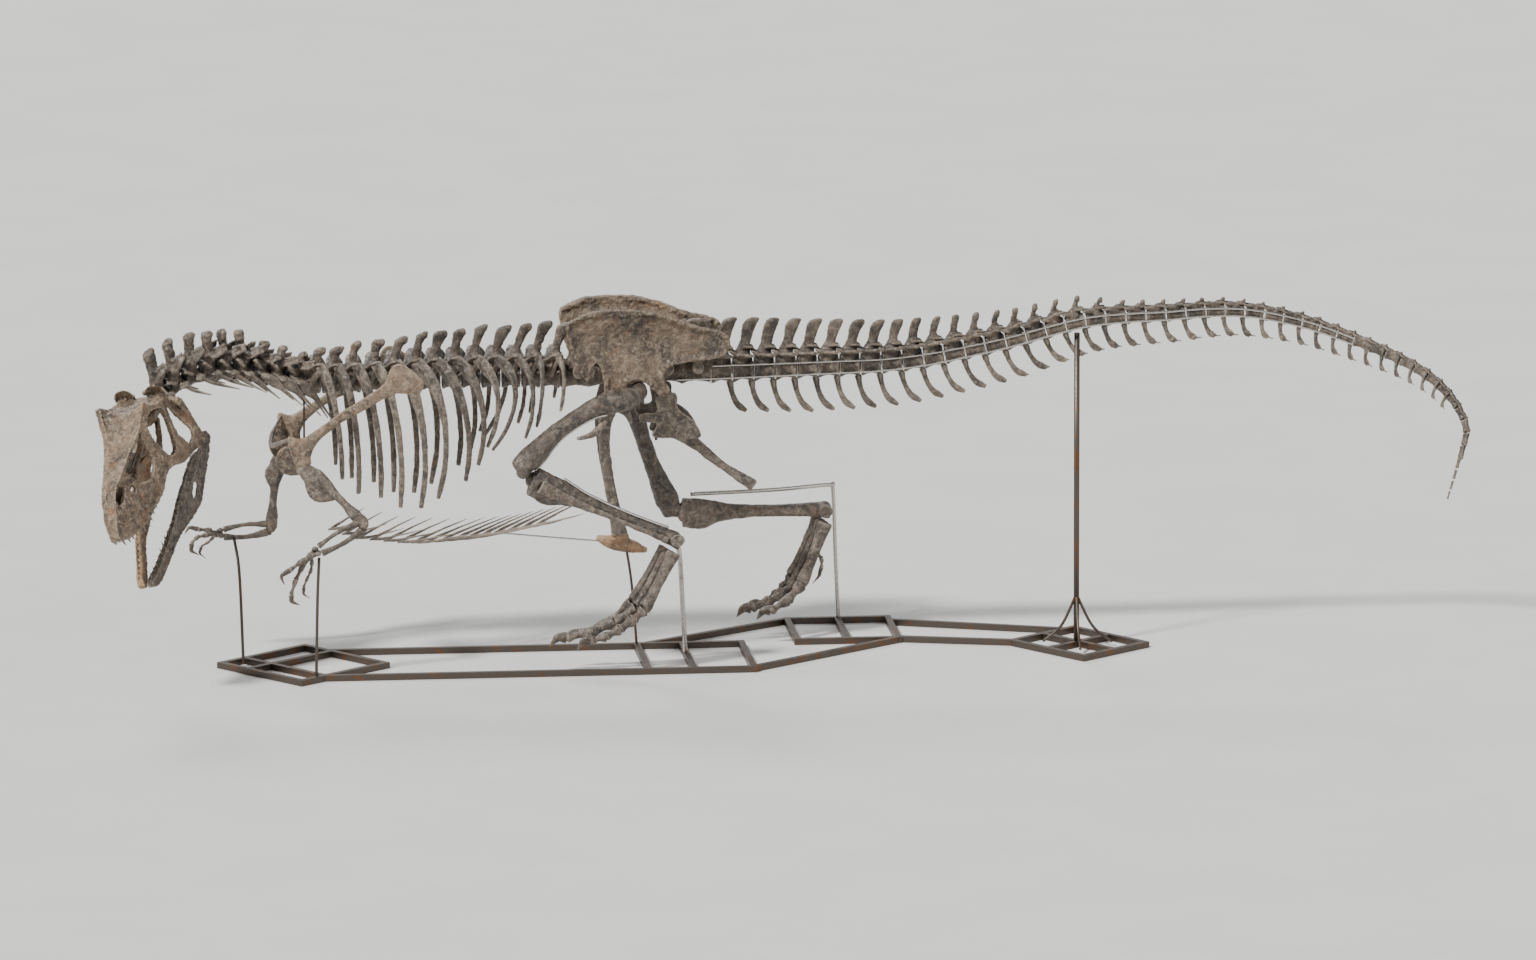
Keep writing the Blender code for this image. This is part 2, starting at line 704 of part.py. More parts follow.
def skull_half_width(x, z=-0.1):
    """Half width of the skull, which narrows upwards from the tooth row to the roof."""
    low = float(np.interp(x, SKULL_HALF_X, SKULL_HALF_Y))
    crown = float(np.interp(-x, [-a for a, b in ROOF_HALF], [b for a, b in ROOF_HALF]))
    rise = max(0.0, min(1.0, (z - 0.06) / max(0.05, roof_height(x, 0.0) - 0.06)))
    return low + (min(low, crown) - low) * rise


def roof_height(x, y):
    horn = 0.055 * math.exp(-((x - 0.386) / 0.05) ** 2) * min(1.0, (y / 0.135) ** 2)
    return float(np.interp(x, ROOF_X, ROOF_Z)) + horn


def skull_node():
    """The skull with its open side windows, roof, brain case, rear crest and upper teeth."""
    shapes = []
    for side in (1, -1):
        shapes.append(plate(
            SKULL_SIDE, SKULL_HOLES,
            lambda x, z, s=side: Vector((x, s * skull_half_width(x, z), z)),
            lambda x, z: Vector((0, 0.012, 0)),
        ))
        dish = [(0.062 * math.cos(a), 0.056 * math.sin(a)) for a in np.linspace(0, 2 * math.pi, 9)[:-1]]
        shapes.append(plate(
            dish, [],
            lambda u, v, s=side: Vector((0.110 + 5.0 * (u * u + v * v) + 0.2 * v, s * 0.098 + u, 0.372 + v)),
            lambda u, v: Vector((0.010, 0, 0.004)),
        ))
    outline = ROOF_HALF + [(x, -y) for x, y in reversed(ROOF_HALF)]
    shapes.append(plate(
        outline, [],
        lambda x, y: Vector((x, y, roof_height(x, y))),
        lambda x, y: Vector((0, 0, 0.013)),
    ))
    shapes.append(bent([(0.005, 0, 0.235), (0.060, 0, 0.240), (0.180, 0, 0.270), (0.340, 0, 0.300)], 5,
                       [0.024, 0.055, 0.068, 0.060, 0.045], [0.024, 0.060, 0.070, 0.055, 0.040], 6))
    for side in (1, -1):
        crest = [(0.06, side * 0.03, 0.25), (0.045, side * 0.10, 0.265), (0.060, side * 0.180, 0.270)]
        shapes.append(bent(crest, 4, [0.022, 0.024, 0.020], [0.040, 0.034, 0.030], 4, (1, 0, 0)))
        palate = [
            (0.12, side * 0.040, 0.210), (0.24, side * 0.060, 0.110), (0.42, side * 0.075, 0.040),
            (0.70, side * 0.050, 0.010), (0.930, side * 0.030, -0.030),
        ]
        shapes.append(bent(palate, 7, [0.018, 0.022, 0.030, 0.026, 0.020],
                           [0.012, 0.011, 0.010, 0.010, 0.014], 4))
        row_x = [0.45, 0.55, 0.64, 0.75, 0.89, 1.0]
        row_z = [0.010, -0.045, -0.068, -0.088, -0.082, -0.055]
        for k in range(12):
            x = 0.975 - k * 0.044
            root = at(x, row_x, row_z)
            tooth = 0.036 + 0.026 * math.sin(math.pi * min(1.0, (k + 2) / 11))
            half = side * skull_half_width(x)
            shapes.append(tube([(x, half, root), (x - 0.016, half, root - 0.02 - tooth)],
                               [0.0075, 0.0012], [0.012, 0.0015], 4))
    matrix = head_matrix()
    return fuse("skull", [moved(s, matrix) for s in shapes], BONE, keep=0.72)


JAW_SIDE = [
    (0.925, 0.045), (0.945, 0.010), (0.910, -0.022), (0.820, -0.036), (0.684, -0.036), (0.567, -0.044),
    (0.409, -0.096), (0.289, -0.115), (0.166, -0.090), (0.000, -0.056), (-0.095, -0.045), (-0.100, 0.000),
    (-0.080, 0.036), (-0.030, 0.012), (0.020, 0.016), (0.120, 0.075), (0.250, 0.092), (0.400, 0.082),
    (0.526, 0.058), (0.673, 0.044), (0.821, 0.040),
]
JAW_HOLE = [(0.330, -0.015), (0.270, 0.010), (0.225, -0.012), (0.265, -0.045), (0.320, -0.042)]
JAW_HALF_X = [-0.10, 0.00, 0.30, 0.60, 0.85, 0.94]
JAW_HALF_Y = [0.185, 0.190, 0.165, 0.108, 0.054, 0.030]


def jaw_node(name, side):
    """One half of the lower jaw, hinged open under the skull."""
    half = lambda x: side * float(np.interp(x, JAW_HALF_X, JAW_HALF_Y))
    shapes = [plate(
        JAW_SIDE, [JAW_HOLE],
        lambda x, z: Vector((x, half(x), z)),
        lambda x, z: Vector((0, 0.013, 0)),
    )]
    for k in range(11):
        x = 0.905 - k * 0.042
        root = float(np.interp(x, [0.45, 0.53, 0.67, 0.82, 0.93], [0.062, 0.048, 0.034, 0.030, 0.034]))
        tooth = 0.030 + 0.018 * math.sin(math.pi * min(1.0, (k + 2) / 10))
        shapes.append(tube([(x, half(x), root), (x - 0.010, half(x), root + 0.016 + tooth)],
                           [0.007, 0.0012], [0.011, 0.0015], 4))
    hinge = Matrix.Translation((0.010, 0, -0.062)) @ Matrix.Rotation(JAW_OPEN, 4, "Y")
    matrix = head_matrix() @ hinge
    return fuse(name, [moved(s, matrix) for s in shapes], BONE, keep=0.80)


# Hips
ILIUM = [
    (-0.435, 1.940), (-0.390, 1.972), (-0.300, 2.010), (-0.180, 2.022), (-0.010, 2.015), (0.130, 1.982),
    (0.280, 1.925), (0.420, 1.888), (0.470, 1.860), (0.486, 1.810), (0.462, 1.758), (0.415, 1.734),
    (0.280, 1.720), (0.165, 1.700), (0.120, 1.665), (0.110, 1.625), (0.150, 1.560), (0.105, 1.528),
    (0.045, 1.570), (0.000, 1.615), (-0.060, 1.622), (-0.105, 1.580), (-0.115, 1.510), (-0.205, 1.522),
    (-0.225, 1.620), (-0.250, 1.710), (-0.285, 1.700), (-0.315, 1.616), (-0.375, 1.700), (-0.412, 1.795),
]


def ilium_shape(side):
    centre = (0.02, 1.60)

    def thick(x, z):
        near = math.exp(-(((x + 0.03) / 0.16) ** 2 + ((z - 1.56) / 0.11) ** 2))
        return Vector((0, 0.015 + 0.024 * near, 0))

    def place(x, z):
        dish = 0.022 * math.exp(-(((x - centre[0]) / 0.34) ** 2 + ((z - 1.84) / 0.12) ** 2))
        lean = 0.030 * (z - 1.66)
        return Vector((x, -side * (ILIUM_HALF_WIDTH + 0.018 - dish + lean), z))

    return plate(ILIUM, [], place, thick)


def pubis_node():
    """Both pubic bones, joined low down and ending in one long foot."""
    shapes = []
    for side in (1, -1):
        shaft = [
            (-0.160, -side * 0.185, 1.508), (-0.205, -side * 0.150, 1.390),
            (-0.205, -side * 0.070, 1.210), (-0.170, -side * 0.026, 0.980),
            (-0.115, -side * 0.016, 0.700),
        ]
        shapes.append(bent(shaft, 8, [0.034, 0.026, 0.024, 0.024, 0.022, 0.022],
                           [0.048, 0.036, 0.034, 0.034, 0.032, 0.042], 6))
        spur = [
            (-0.165, -side * 0.170, 1.480), (-0.090, -side * 0.150, 1.420), (-0.065, -side * 0.140, 1.360),
        ]
        shapes.append(bent(spur, 3, [0.014, 0.010, 0.006], [0.045, 0.026, 0.012], 4))
    foot = [
        (-0.245, 0, 0.682), (-0.180, 0, 0.660), (-0.100, 0, 0.642), (0.000, 0, 0.615), (0.040, 0, 0.605),
    ]
    shapes.append(bent(foot, 6, [0.016, 0.034, 0.040, 0.040, 0.030, 0.014],
                       [0.016, 0.034, 0.044, 0.042, 0.032, 0.014], 6))
    return fuse("pubis", shapes, BONE, keep=0.80)


def ischium_node():
    """Both ischia: wide plates at the hip, one slim pair of rods running back and down."""
    shapes = []
    blade = [
        (0.075, 1.515), (0.185, 1.528), (0.200, 1.440), (0.290, 1.360), (0.335, 1.265), (0.250, 1.255),
        (0.150, 1.260), (0.060, 1.275), (0.085, 1.350), (-0.005, 1.360), (-0.012, 1.410), (0.080, 1.425),
    ]
    for side in (1, -1):
        shapes.append(plate(
            blade, [],
            lambda x, z, s=side: Vector((x, -s * (0.165 - (1.53 - z) * 0.30), z)),
            lambda x, z: Vector((0, 0.015, 0)),
        ))
        shaft = [
            (0.190, -side * 0.095, 1.300), (0.310, -side * 0.050, 1.210),
            (0.450, -side * 0.020, 1.090), (0.640, -side * 0.015, 0.960),
        ]
        shapes.append(bent(shaft, 6, [0.020, 0.020, 0.018, 0.018], [0.040, 0.028, 0.024, 0.030], 6))
    return fuse("ischium", shapes, BONE, keep=0.75)


# Shoulders and arms
SCAPULA = [
    (-1.376, 1.750), (-1.300, 1.710), (-1.243, 1.650), (-1.250, 1.585), (-1.290, 1.565), (-1.405, 1.564),
    (-1.563, 1.485), (-1.721, 1.410), (-1.836, 1.328), (-1.878, 1.250), (-1.880, 1.200), (-1.950, 1.185),
    (-1.992, 1.275), (-2.005, 1.360), (-1.925, 1.350), (-1.836, 1.402), (-1.692, 1.510), (-1.530, 1.605),
    (-1.445, 1.665), (-1.420, 1.728),
]
CORACOID = [
    (-1.950, 1.290), (-2.020, 1.300), (-2.062, 1.245), (-2.058, 1.175), (-2.010, 1.122), (-1.940, 1.125),
    (-1.900, 1.180),
]


def scapula_shapes(side):
    blade = plate(
        SCAPULA, [],
        lambda x, z: Vector((x, -side * float(np.interp(x, [-1.85, -1.45], [0.335, 0.268])), z)),
        lambda x, z: Vector((0, 0.011 + 0.014 * math.exp(-((x + 1.90) / 0.10) ** 2), 0)),
    )

    def curled(x, z):
        inward = max(0.0, 1.28 - z) * 0.62 + max(0.0, -1.95 - x) * 0.55
        return Vector((x, -side * (0.335 - inward), z))

    coracoid = plate(
        CORACOID, [], curled,
        lambda x, z: Vector((0, 0.016, 0)),
    )
    return [blade, coracoid]


SHOULDER = {1: Vector((-1.915, -0.345, 1.165)), -1: Vector((-1.975, 0.335, 1.135))}
ELBOW = {1: Vector((-1.590, -0.430, 0.875)), -1: Vector((-2.045, 0.330, 0.710))}
WRIST = {1: Vector((-1.850, -0.485, 0.740)), -1: Vector((-2.325, 0.250, 0.700))}


def humerus_shapes(side):
    a, b = SHOULDER[side], ELBOW[side]
    bow = (b - a).cross(Vector((0, 1, 0))).normalized() * (0.020 if side > 0 else -0.020)
    path = [a, a.lerp(b, 0.30) + bow, a.lerp(b, 0.70) + bow * 0.5, b]
    shaft = bent(path, 8, [0.030, 0.034, 0.027, 0.022, 0.022, 0.030, 0.032],
                 [0.052, 0.055, 0.038, 0.024, 0.022, 0.034, 0.036], 7)
    front = (b - a).cross(Vector((0, 1, 0))).normalized() * (0.045 if side > 0 else 0.040)
    ridge = [a.lerp(b, 0.10) - front * 0.2, a.lerp(b, 0.31) - front, a.lerp(b, 0.50) - front * 0.1]
    crest = bent(ridge, 4, [0.016, 0.018, 0.012], [0.036, 0.048, 0.018], 5)
    return [shaft, crest]


def forearm_bone(side, which):
    """The radius for which = 1, the ulna for -1."""
    a, b = ELBOW[side], WRIST[side]
    along = (b - a).normalized()
    apart = along.cross(Vector((0, 1, 0))).normalized()
    if apart.z < 0:
        apart.negate()
    top = a + along * 0.028 + apart * (0.024 * which)
    low = b - along * 0.010 + apart * (0.022 * which)
    middle = top.lerp(low, 0.5) + apart * (0.012 * which)
    thick = 0.017 if which > 0 else 0.021
    wide = [thick * share for share in (1.25, 0.80, 0.75, 1.00)]
    tall = [thick * share for share in (1.30, 0.80, 0.80, 1.15)]
    return [bent([top, middle, low], 6, wide, tall, 6)]


def digit(points, radius, phalanges, claw):
    """A toe or finger: knuckled bones along a path with a curved claw. claw is (mid, tip) points."""
    path = [Vector(p) for p in smooth_path(points, phalanges * 2 + 1)]
    widths = [radius * (1.12 if k % 2 == 0 else 0.74) * (1 - 0.28 * k / len(path)) for k in range(len(path))]
    end = widths[-1]
    path += [path[-1].lerp(claw[0], 0.45), claw[0], claw[1]]
    widths += [end * 0.95, end * 0.60, 0.0016]
    heights = [w * 1.12 for w in widths]
    return [tube(path, widths, heights, 5)]


# Fingers of each hand: path from the wrist, radius, bones, then the claw's middle and tip
FINGERS = {
    1: [
        ([(-1.872, -0.510, 0.728), (-1.930, -0.520, 0.700), (-2.010, -0.525, 0.645)], 0.018, 3,
         ((-2.062, -0.525, 0.605), (-2.040, -0.520, 0.552))),
        ([(-1.880, -0.488, 0.710), (-1.945, -0.490, 0.650), (-1.985, -0.490, 0.560),
          (-2.005, -0.490, 0.495)], 0.017, 4,
         ((-2.000, -0.490, 0.455), (-1.950, -0.488, 0.432))),
        ([(-1.848, -0.462, 0.710), (-1.890, -0.455, 0.620), (-1.930, -0.450, 0.530)], 0.013, 4,
         ((-1.930, -0.450, 0.488), (-1.895, -0.450, 0.462))),
    ],
    -1: [
        ([(-2.345, 0.215, 0.712), (-2.400, 0.200, 0.728), (-2.465, 0.190, 0.738)], 0.017, 3,
         ((-2.520, 0.185, 0.748), (-2.545, 0.180, 0.710))),
        ([(-2.350, 0.250, 0.696), (-2.420, 0.245, 0.692), (-2.480, 0.240, 0.680),
          (-2.500, 0.240, 0.650)], 0.016, 4,
         ((-2.500, 0.240, 0.605), (-2.455, 0.240, 0.580))),
        ([(-2.345, 0.285, 0.678), (-2.390, 0.290, 0.650), (-2.440, 0.290, 0.620)], 0.012, 4,
         ((-2.450, 0.290, 0.580), (-2.415, 0.290, 0.550))),
    ],
}


def hand_node(name, side):
    a, b = ELBOW[side], WRIST[side]
    along = (b - a).normalized()
    shapes = [tube([b - along * 0.004, b + along * 0.022, b + along * 0.048],
                   [0.040, 0.044, 0.036], [0.026, 0.028, 0.022], 6, (0, 1, 0))]
    for path, radius, count, claw in FINGERS[side]:
        shapes += digit([b + along * 0.020] + path, radius, count, (Vector(claw[0]), Vector(claw[1])))
    return fuse(name, shapes, BONE, keep=0.78)


# Legs
HIP = {1: Vector((-0.030, -0.205, 1.560)), -1: Vector((-0.025, 0.205, 1.560))}
KNEE = {1: Vector((-0.715, -0.540, 1.212)), -1: Vector((0.215, 0.430, 0.752))}
SHIN_TOP = {1: Vector((-0.640, -0.520, 1.112)), -1: Vector((0.295, 0.430, 0.727))}
ANKLE = {1: Vector((0.165, -0.385, 0.740)), -1: Vector((1.085, 0.405, 0.733))}
FOOT_TOP = {1: Vector((0.118, -0.388, 0.665)), -1: Vector((1.062, 0.405, 0.653))}
FOOT_END = {1: Vector((-0.050, -0.420, 0.375)), -1: Vector((0.925, 0.420, 0.322))}
FOOT_TURN = {1: math.radians(32), -1: math.radians(26)}
SHIN_HALF_UP = [0.090, 0.078, 0.048, 0.037, 0.036, 0.038, 0.046]
THIGH_HALF_UP = [0.046, 0.052, 0.066, 0.070, 0.056, 0.048, 0.046, 0.046, 0.050, 0.062, 0.072, 0.056]


def thigh_axes(side):
    """The upper corner of the thigh bone, its direction down, and the points of its middle."""
    hip, knee = HIP[side], KNEE[side]
    out = Vector((0, -side, 0))
    corner = hip + out * 0.095 + Vector((-0.010, 0, 0.000))
    down = (knee - corner).normalized()
    bow = Vector((-0.045, 0, 0.045)) if side > 0 else Vector((-0.030, 0, 0))
    path = [
        hip - out * 0.020, hip + out * 0.045, corner + down * 0.055, corner.lerp(knee, 0.28) + bow,
        corner.lerp(knee, 0.62) + bow, corner.lerp(knee, 0.90) + bow * 0.2, knee + down * 0.035,
    ]
    return corner, down, path


def femur_shapes(side):
    corner, down, path = thigh_axes(side)
    hint = (0, 1, 0) if side > 0 else (0.6, 1, 0)
    half = [0.046, 0.052, 0.058, 0.060, 0.052, 0.047, 0.045, 0.045, 0.048, 0.060, 0.070, 0.052]
    shaft = bent(path, 12, half, THIGH_HALF_UP, 8, hint)
    front = down.cross(Vector((0, -side, 0))).normalized()
    if front.x > 0 and side < 0 or front.z < 0 and side > 0:
        front.negate()
    ridge = [
        corner + down * 0.03 + front * 0.030, corner + down * 0.16 + front * 0.075,
        corner + down * 0.30 + front * 0.048,
    ]
    return [shaft, bent(ridge, 4, [0.014, 0.016, 0.012], [0.024, 0.024, 0.012], 5)]


def shin_shapes(side, which):
    """The tibia or the fibula, which lies on the outer side."""
    top, low = SHIN_TOP[side], ANKLE[side]
    along = (low - top).normalized()
    out = Vector((0, -side, 0))
    out = (out - along * out.dot(along)).normalized()
    if which == "tibia":
        path = [top - along * 0.015, top.lerp(low, 0.18), top.lerp(low, 0.55), low]
        half = [0.058, 0.050, 0.038, 0.034, 0.034, 0.040, 0.055]
        return [bent(path, 9, half, SHIN_HALF_UP, 8)]
    offset_top, offset_low = out * 0.074, out * 0.058
    up = along.cross(out).normalized() * (0.012 if side > 0 else -0.012)
    path = [
        top + offset_top + along * 0.015, top.lerp(low, 0.3) + offset_top * 0.95 + up,
        top.lerp(low, 0.93) + offset_low + up,
    ]
    return [bent(path, 7, [0.015, 0.013, 0.011, 0.010, 0.012], [0.040, 0.026, 0.016, 0.014, 0.018], 5)]


def foot_axes(side):
    """Both ends of the long foot bones, their direction, and the way they lie side by side."""
    top, end = FOOT_TOP[side], FOOT_END[side]
    along = (end - top).normalized()
    out = Vector((0, -side, 0))
    out = (out - along * out.dot(along)).normalized()
    rear = along.cross(out).normalized()
    if rear.x < 0:
        rear.negate()
    turn = FOOT_TURN[side]
    return top, end, along, out * math.cos(turn) + rear * (math.sin(turn) * side)


# Toes of each foot: side shift at the root, spread at the tip, reach, bones, claw length
TOES = {
    1: [
        (-0.056, -0.110, 0.30, 2, 0.095),
        (0.000, -0.010, 0.40, 3, 0.100),
        (0.056, 0.100, 0.31, 4, 0.080),
    ],
    -1: [
        (-0.056, -0.200, 0.19, 2, 0.085),
        (0.000, -0.110, 0.26, 3, 0.090),
        (0.056, -0.005, 0.20, 4, 0.075),
    ],
}
SOLE = 0.185


def toe_shapes(side, toe):
    root, spread, reach, count, claw = toe
    top, end, along, out = foot_axes(side)
    start = top + (end - top) * (1.0 if root == 0 else 0.95) + out * root
    flat, level, side_way = Vector((-1, 0, 0)), Vector((0, 0, -1)), Vector((0, -side, 0))
    drop, wide = start.z - SOLE, spread - root
    p0 = start - along * 0.012
    p1 = start + flat * (reach * 0.30) + side_way * wide * 0.3 + level * (drop * 0.45)
    p2 = start + flat * (reach * 0.66) + side_way * wide * 0.7 + level * (drop * 0.78)
    p3 = start + flat * reach + side_way * wide + level * (drop * 0.92)
    mid = p3 + flat * (claw * 0.62) + level * 0.008
    tip = p3 + flat * claw + level * 0.052
    return digit([p0, p1, p2, p3], 0.036 if root == 0 else 0.032, count, (mid, tip))


def foot_node(name, side):
    top, end, along, out = foot_axes(side)
    shapes = []
    for row, reach in ((-1, 0.94), (0, 1.0), (1, 0.95)):
        start = top + out * (0.038 * row)
        stop = top + (end - top) * reach + out * (0.056 * row)
        shapes.append(bent([start, start.lerp(stop, 0.5) + out * 0.004 * row, stop], 4,
                           [0.034, 0.027, 0.025, 0.025, 0.033], [0.044, 0.036, 0.032, 0.032, 0.040], 5))
    ankle, across = ANKLE[side], Vector((0, -side, 0)) * 0.055
    shapes.append(tube([ankle - across, ankle, ankle + across], [0.032, 0.036, 0.030],
                       [0.036, 0.040, 0.034], 7, (0, 0, 1)))
    shapes.append(tube([ankle.lerp(top, -0.1), ankle.lerp(top, 1.25)], [0.050, 0.056],
                       [0.036, 0.042], 6, (0, 1, 0)))
    back = Vector((1, 0, 0))
    inner = out * -0.040
    spur = [
        top.lerp(end, 0.45) + back * 0.018 + inner, top.lerp(end, 0.55) + back * 0.060 + inner,
        top.lerp(end, 0.72) + back * 0.085 + inner,
    ]
    claw = (top.lerp(end, 0.88) + back * 0.090 + inner, top.lerp(end, 1.02) + back * 0.070 + inner)
    shapes += digit(spur, 0.013, 2, claw)
    for toe in TOES[side]:
        shapes += toe_shapes(side, toe)
    return fuse(name, shapes, BONE, keep=0.86)


# Belly ribs
def gastralia_node():
    """Rods in chevrons along the belly, crossing each other on the midline."""
    line_x = [-1.80, -1.60, -1.30, -1.00, -0.70, -0.50]
    line_z = [0.780, 0.705, 0.670, 0.690, 0.740, 0.775]
    shapes, apexes = [], []
    for k in range(13):
        x = -1.74 + 0.097 * k
        z = at(x, line_x, line_z)
        back = at(k, [0, 6, 12], [0.20, 0.34, 0.24])
        wide = at(k, [0, 4, 8, 12], [0.150, 0.200, 0.200, 0.150]) + 0.009 * (k % 2)
        half = [(x + back * 0.28, wide * 0.45, z + 0.026 + 0.004 * (k % 2)), (x + back, wide, z + 0.096)]
        path = [(a, -b, c) for a, b, c in half[::-1]] + [(x, 0, z)] + half
        shapes.append(tube(path, [0.004, 0.008, 0.012, 0.008, 0.004],
                           [0.004, 0.008, 0.010, 0.008, 0.004], 4, (1, 0, 0.3)))
        apexes.append(Vector((x, 0, z)))
    keel = [apexes[0] + Vector((-0.004, 0.001, 0.003))]
    keel += [a.lerp(b, 0.45) + Vector((0, 0.001, 0.003)) for a, b in zip(apexes, apexes[1:])]
    keel.append(apexes[-1] + Vector((0.006, 0.001, 0.003)))
    shapes.append(tube(keel, [0.0065], [0.0055], 5, (0, 1, 0)))
    return fuse("gastralia", shapes, BONE, keep=0.72)


def furcula_node():
    """The wishbone between the two shoulder blades."""
    path = [
        (-1.985, -0.332, 1.350), (-2.035, -0.190, 1.300), (-2.070, 0.0, 1.250), (-2.035, 0.190, 1.300),
        (-1.985, 0.332, 1.350),
    ]
    shape = bent(path, 9, [0.008, 0.012, 0.014, 0.012, 0.008], [0.012, 0.016, 0.020, 0.016, 0.012], 6,
                 (1, 0, 0.060))
    return fuse("furcula", [shape], BONE)


# Steel frame on the floor
def frame_ring(name, corners, along_shares, across_shares):
    """A four-sided frame of square bar with cross bars at the given shares of its two edges."""
    origin = Vector(corners[0])
    edge, other = Vector(corners[1]) - origin, Vector(corners[3]) - origin
    skew = abs(edge.x * other.y - edge.y * other.x)
    step_u, step_v = FRAME_BAR / 2 * other.length / skew, FRAME_BAR / 2 * edge.length / skew
    spot = lambda u, v: origin + edge * u + other * v
    low_u, high_u, low_v, high_v = -step_u, 1 + step_u, -step_v, 1 + step_v
    outline = [spot(low_u, low_v), spot(high_u, low_v), spot(high_u, high_v), spot(low_u, high_v)]
    cells_u, cells_v = [0.0] + along_shares + [1.0], [0.0] + across_shares + [1.0]
    holes = []
    for a, b in zip(cells_u, cells_u[1:]):
        for c, d in zip(cells_v, cells_v[1:]):
            u0, u1, v0, v1 = a + step_u, b - step_u, c + step_v, d - step_v
            holes.append([spot(u0, v0), spot(u1, v0), spot(u1, v1), spot(u0, v1)])
    rise = Vector((0, 0, FRAME_BAR / 2))
    flat = plate(outline, holes, lambda x, y: Vector((x, y, FRAME_BAR / 2)), lambda x, y: rise)
    return fuse(name, [flat], STEEL)


def rail(name, a, b):
    height = FRAME_BAR / 2
    return fuse(name, [box_bar(Vector((*a, height)), Vector((*b, height)), FRAME_BAR, FRAME_BAR)], STEEL)


def rod(name, points, radius=POST_RADIUS, count=None, sides=6):
    count = count or max(2, len(points))
    path = smooth_path(points, count) if count > len(points) else points
    lead = Vector(points[-1]) - Vector(points[0])
    hint = (1, 0, 0) if abs(lead.x) < abs(lead.z) else (0, 1, 0)
    return fuse(name, [tube(path, [radius], [radius], sides, hint)], STEEL)


def bone_bar(name, path, half_up, first, last, away):
    """A flat bar that lies against the side of a bone, along part of the bone's middle line."""
    count = 13
    middle = [Vector(p) for p in smooth_path(path, count)]
    reach = np.interp(range(count), np.linspace(0, count - 1, len(half_up)), half_up)
    points = []
    for k in range(first, last + 1):
        tangent = (middle[min(k + 1, count - 1)] - middle[k - 1]).normalized()
        off = (away - tangent * away.dot(tangent)).normalized()
        points.append(middle[k] + off * (reach[k] + 0.004))
    return fuse(name, [tube(points, [0.013], [0.008], 6, (0, 1, 0))], STEEL)


def tail_rod_path(turn):
    """The line of a rod that lies against the left side of the tail, above or below its middle."""
    joints = tail_stations()
    path = []
    if turn < 0:
        reach = tail_sizes(0)["radius"] * 0.90 + 0.0064
        for x in (0.190, 0.300):
            path.append(RUN.place(RUN.at_x(x), 0, reach * math.cos(math.pi / 6), turn * reach * 0.52))
    for n in range(0, 33, 2):
        reach = tail_sizes(n)["radius"] * 0.90 + 0.0064
        path.append(RUN.place(joints[n] + 0.004, 0, reach * math.cos(math.pi / 6), turn * reach * 0.52))
    return path


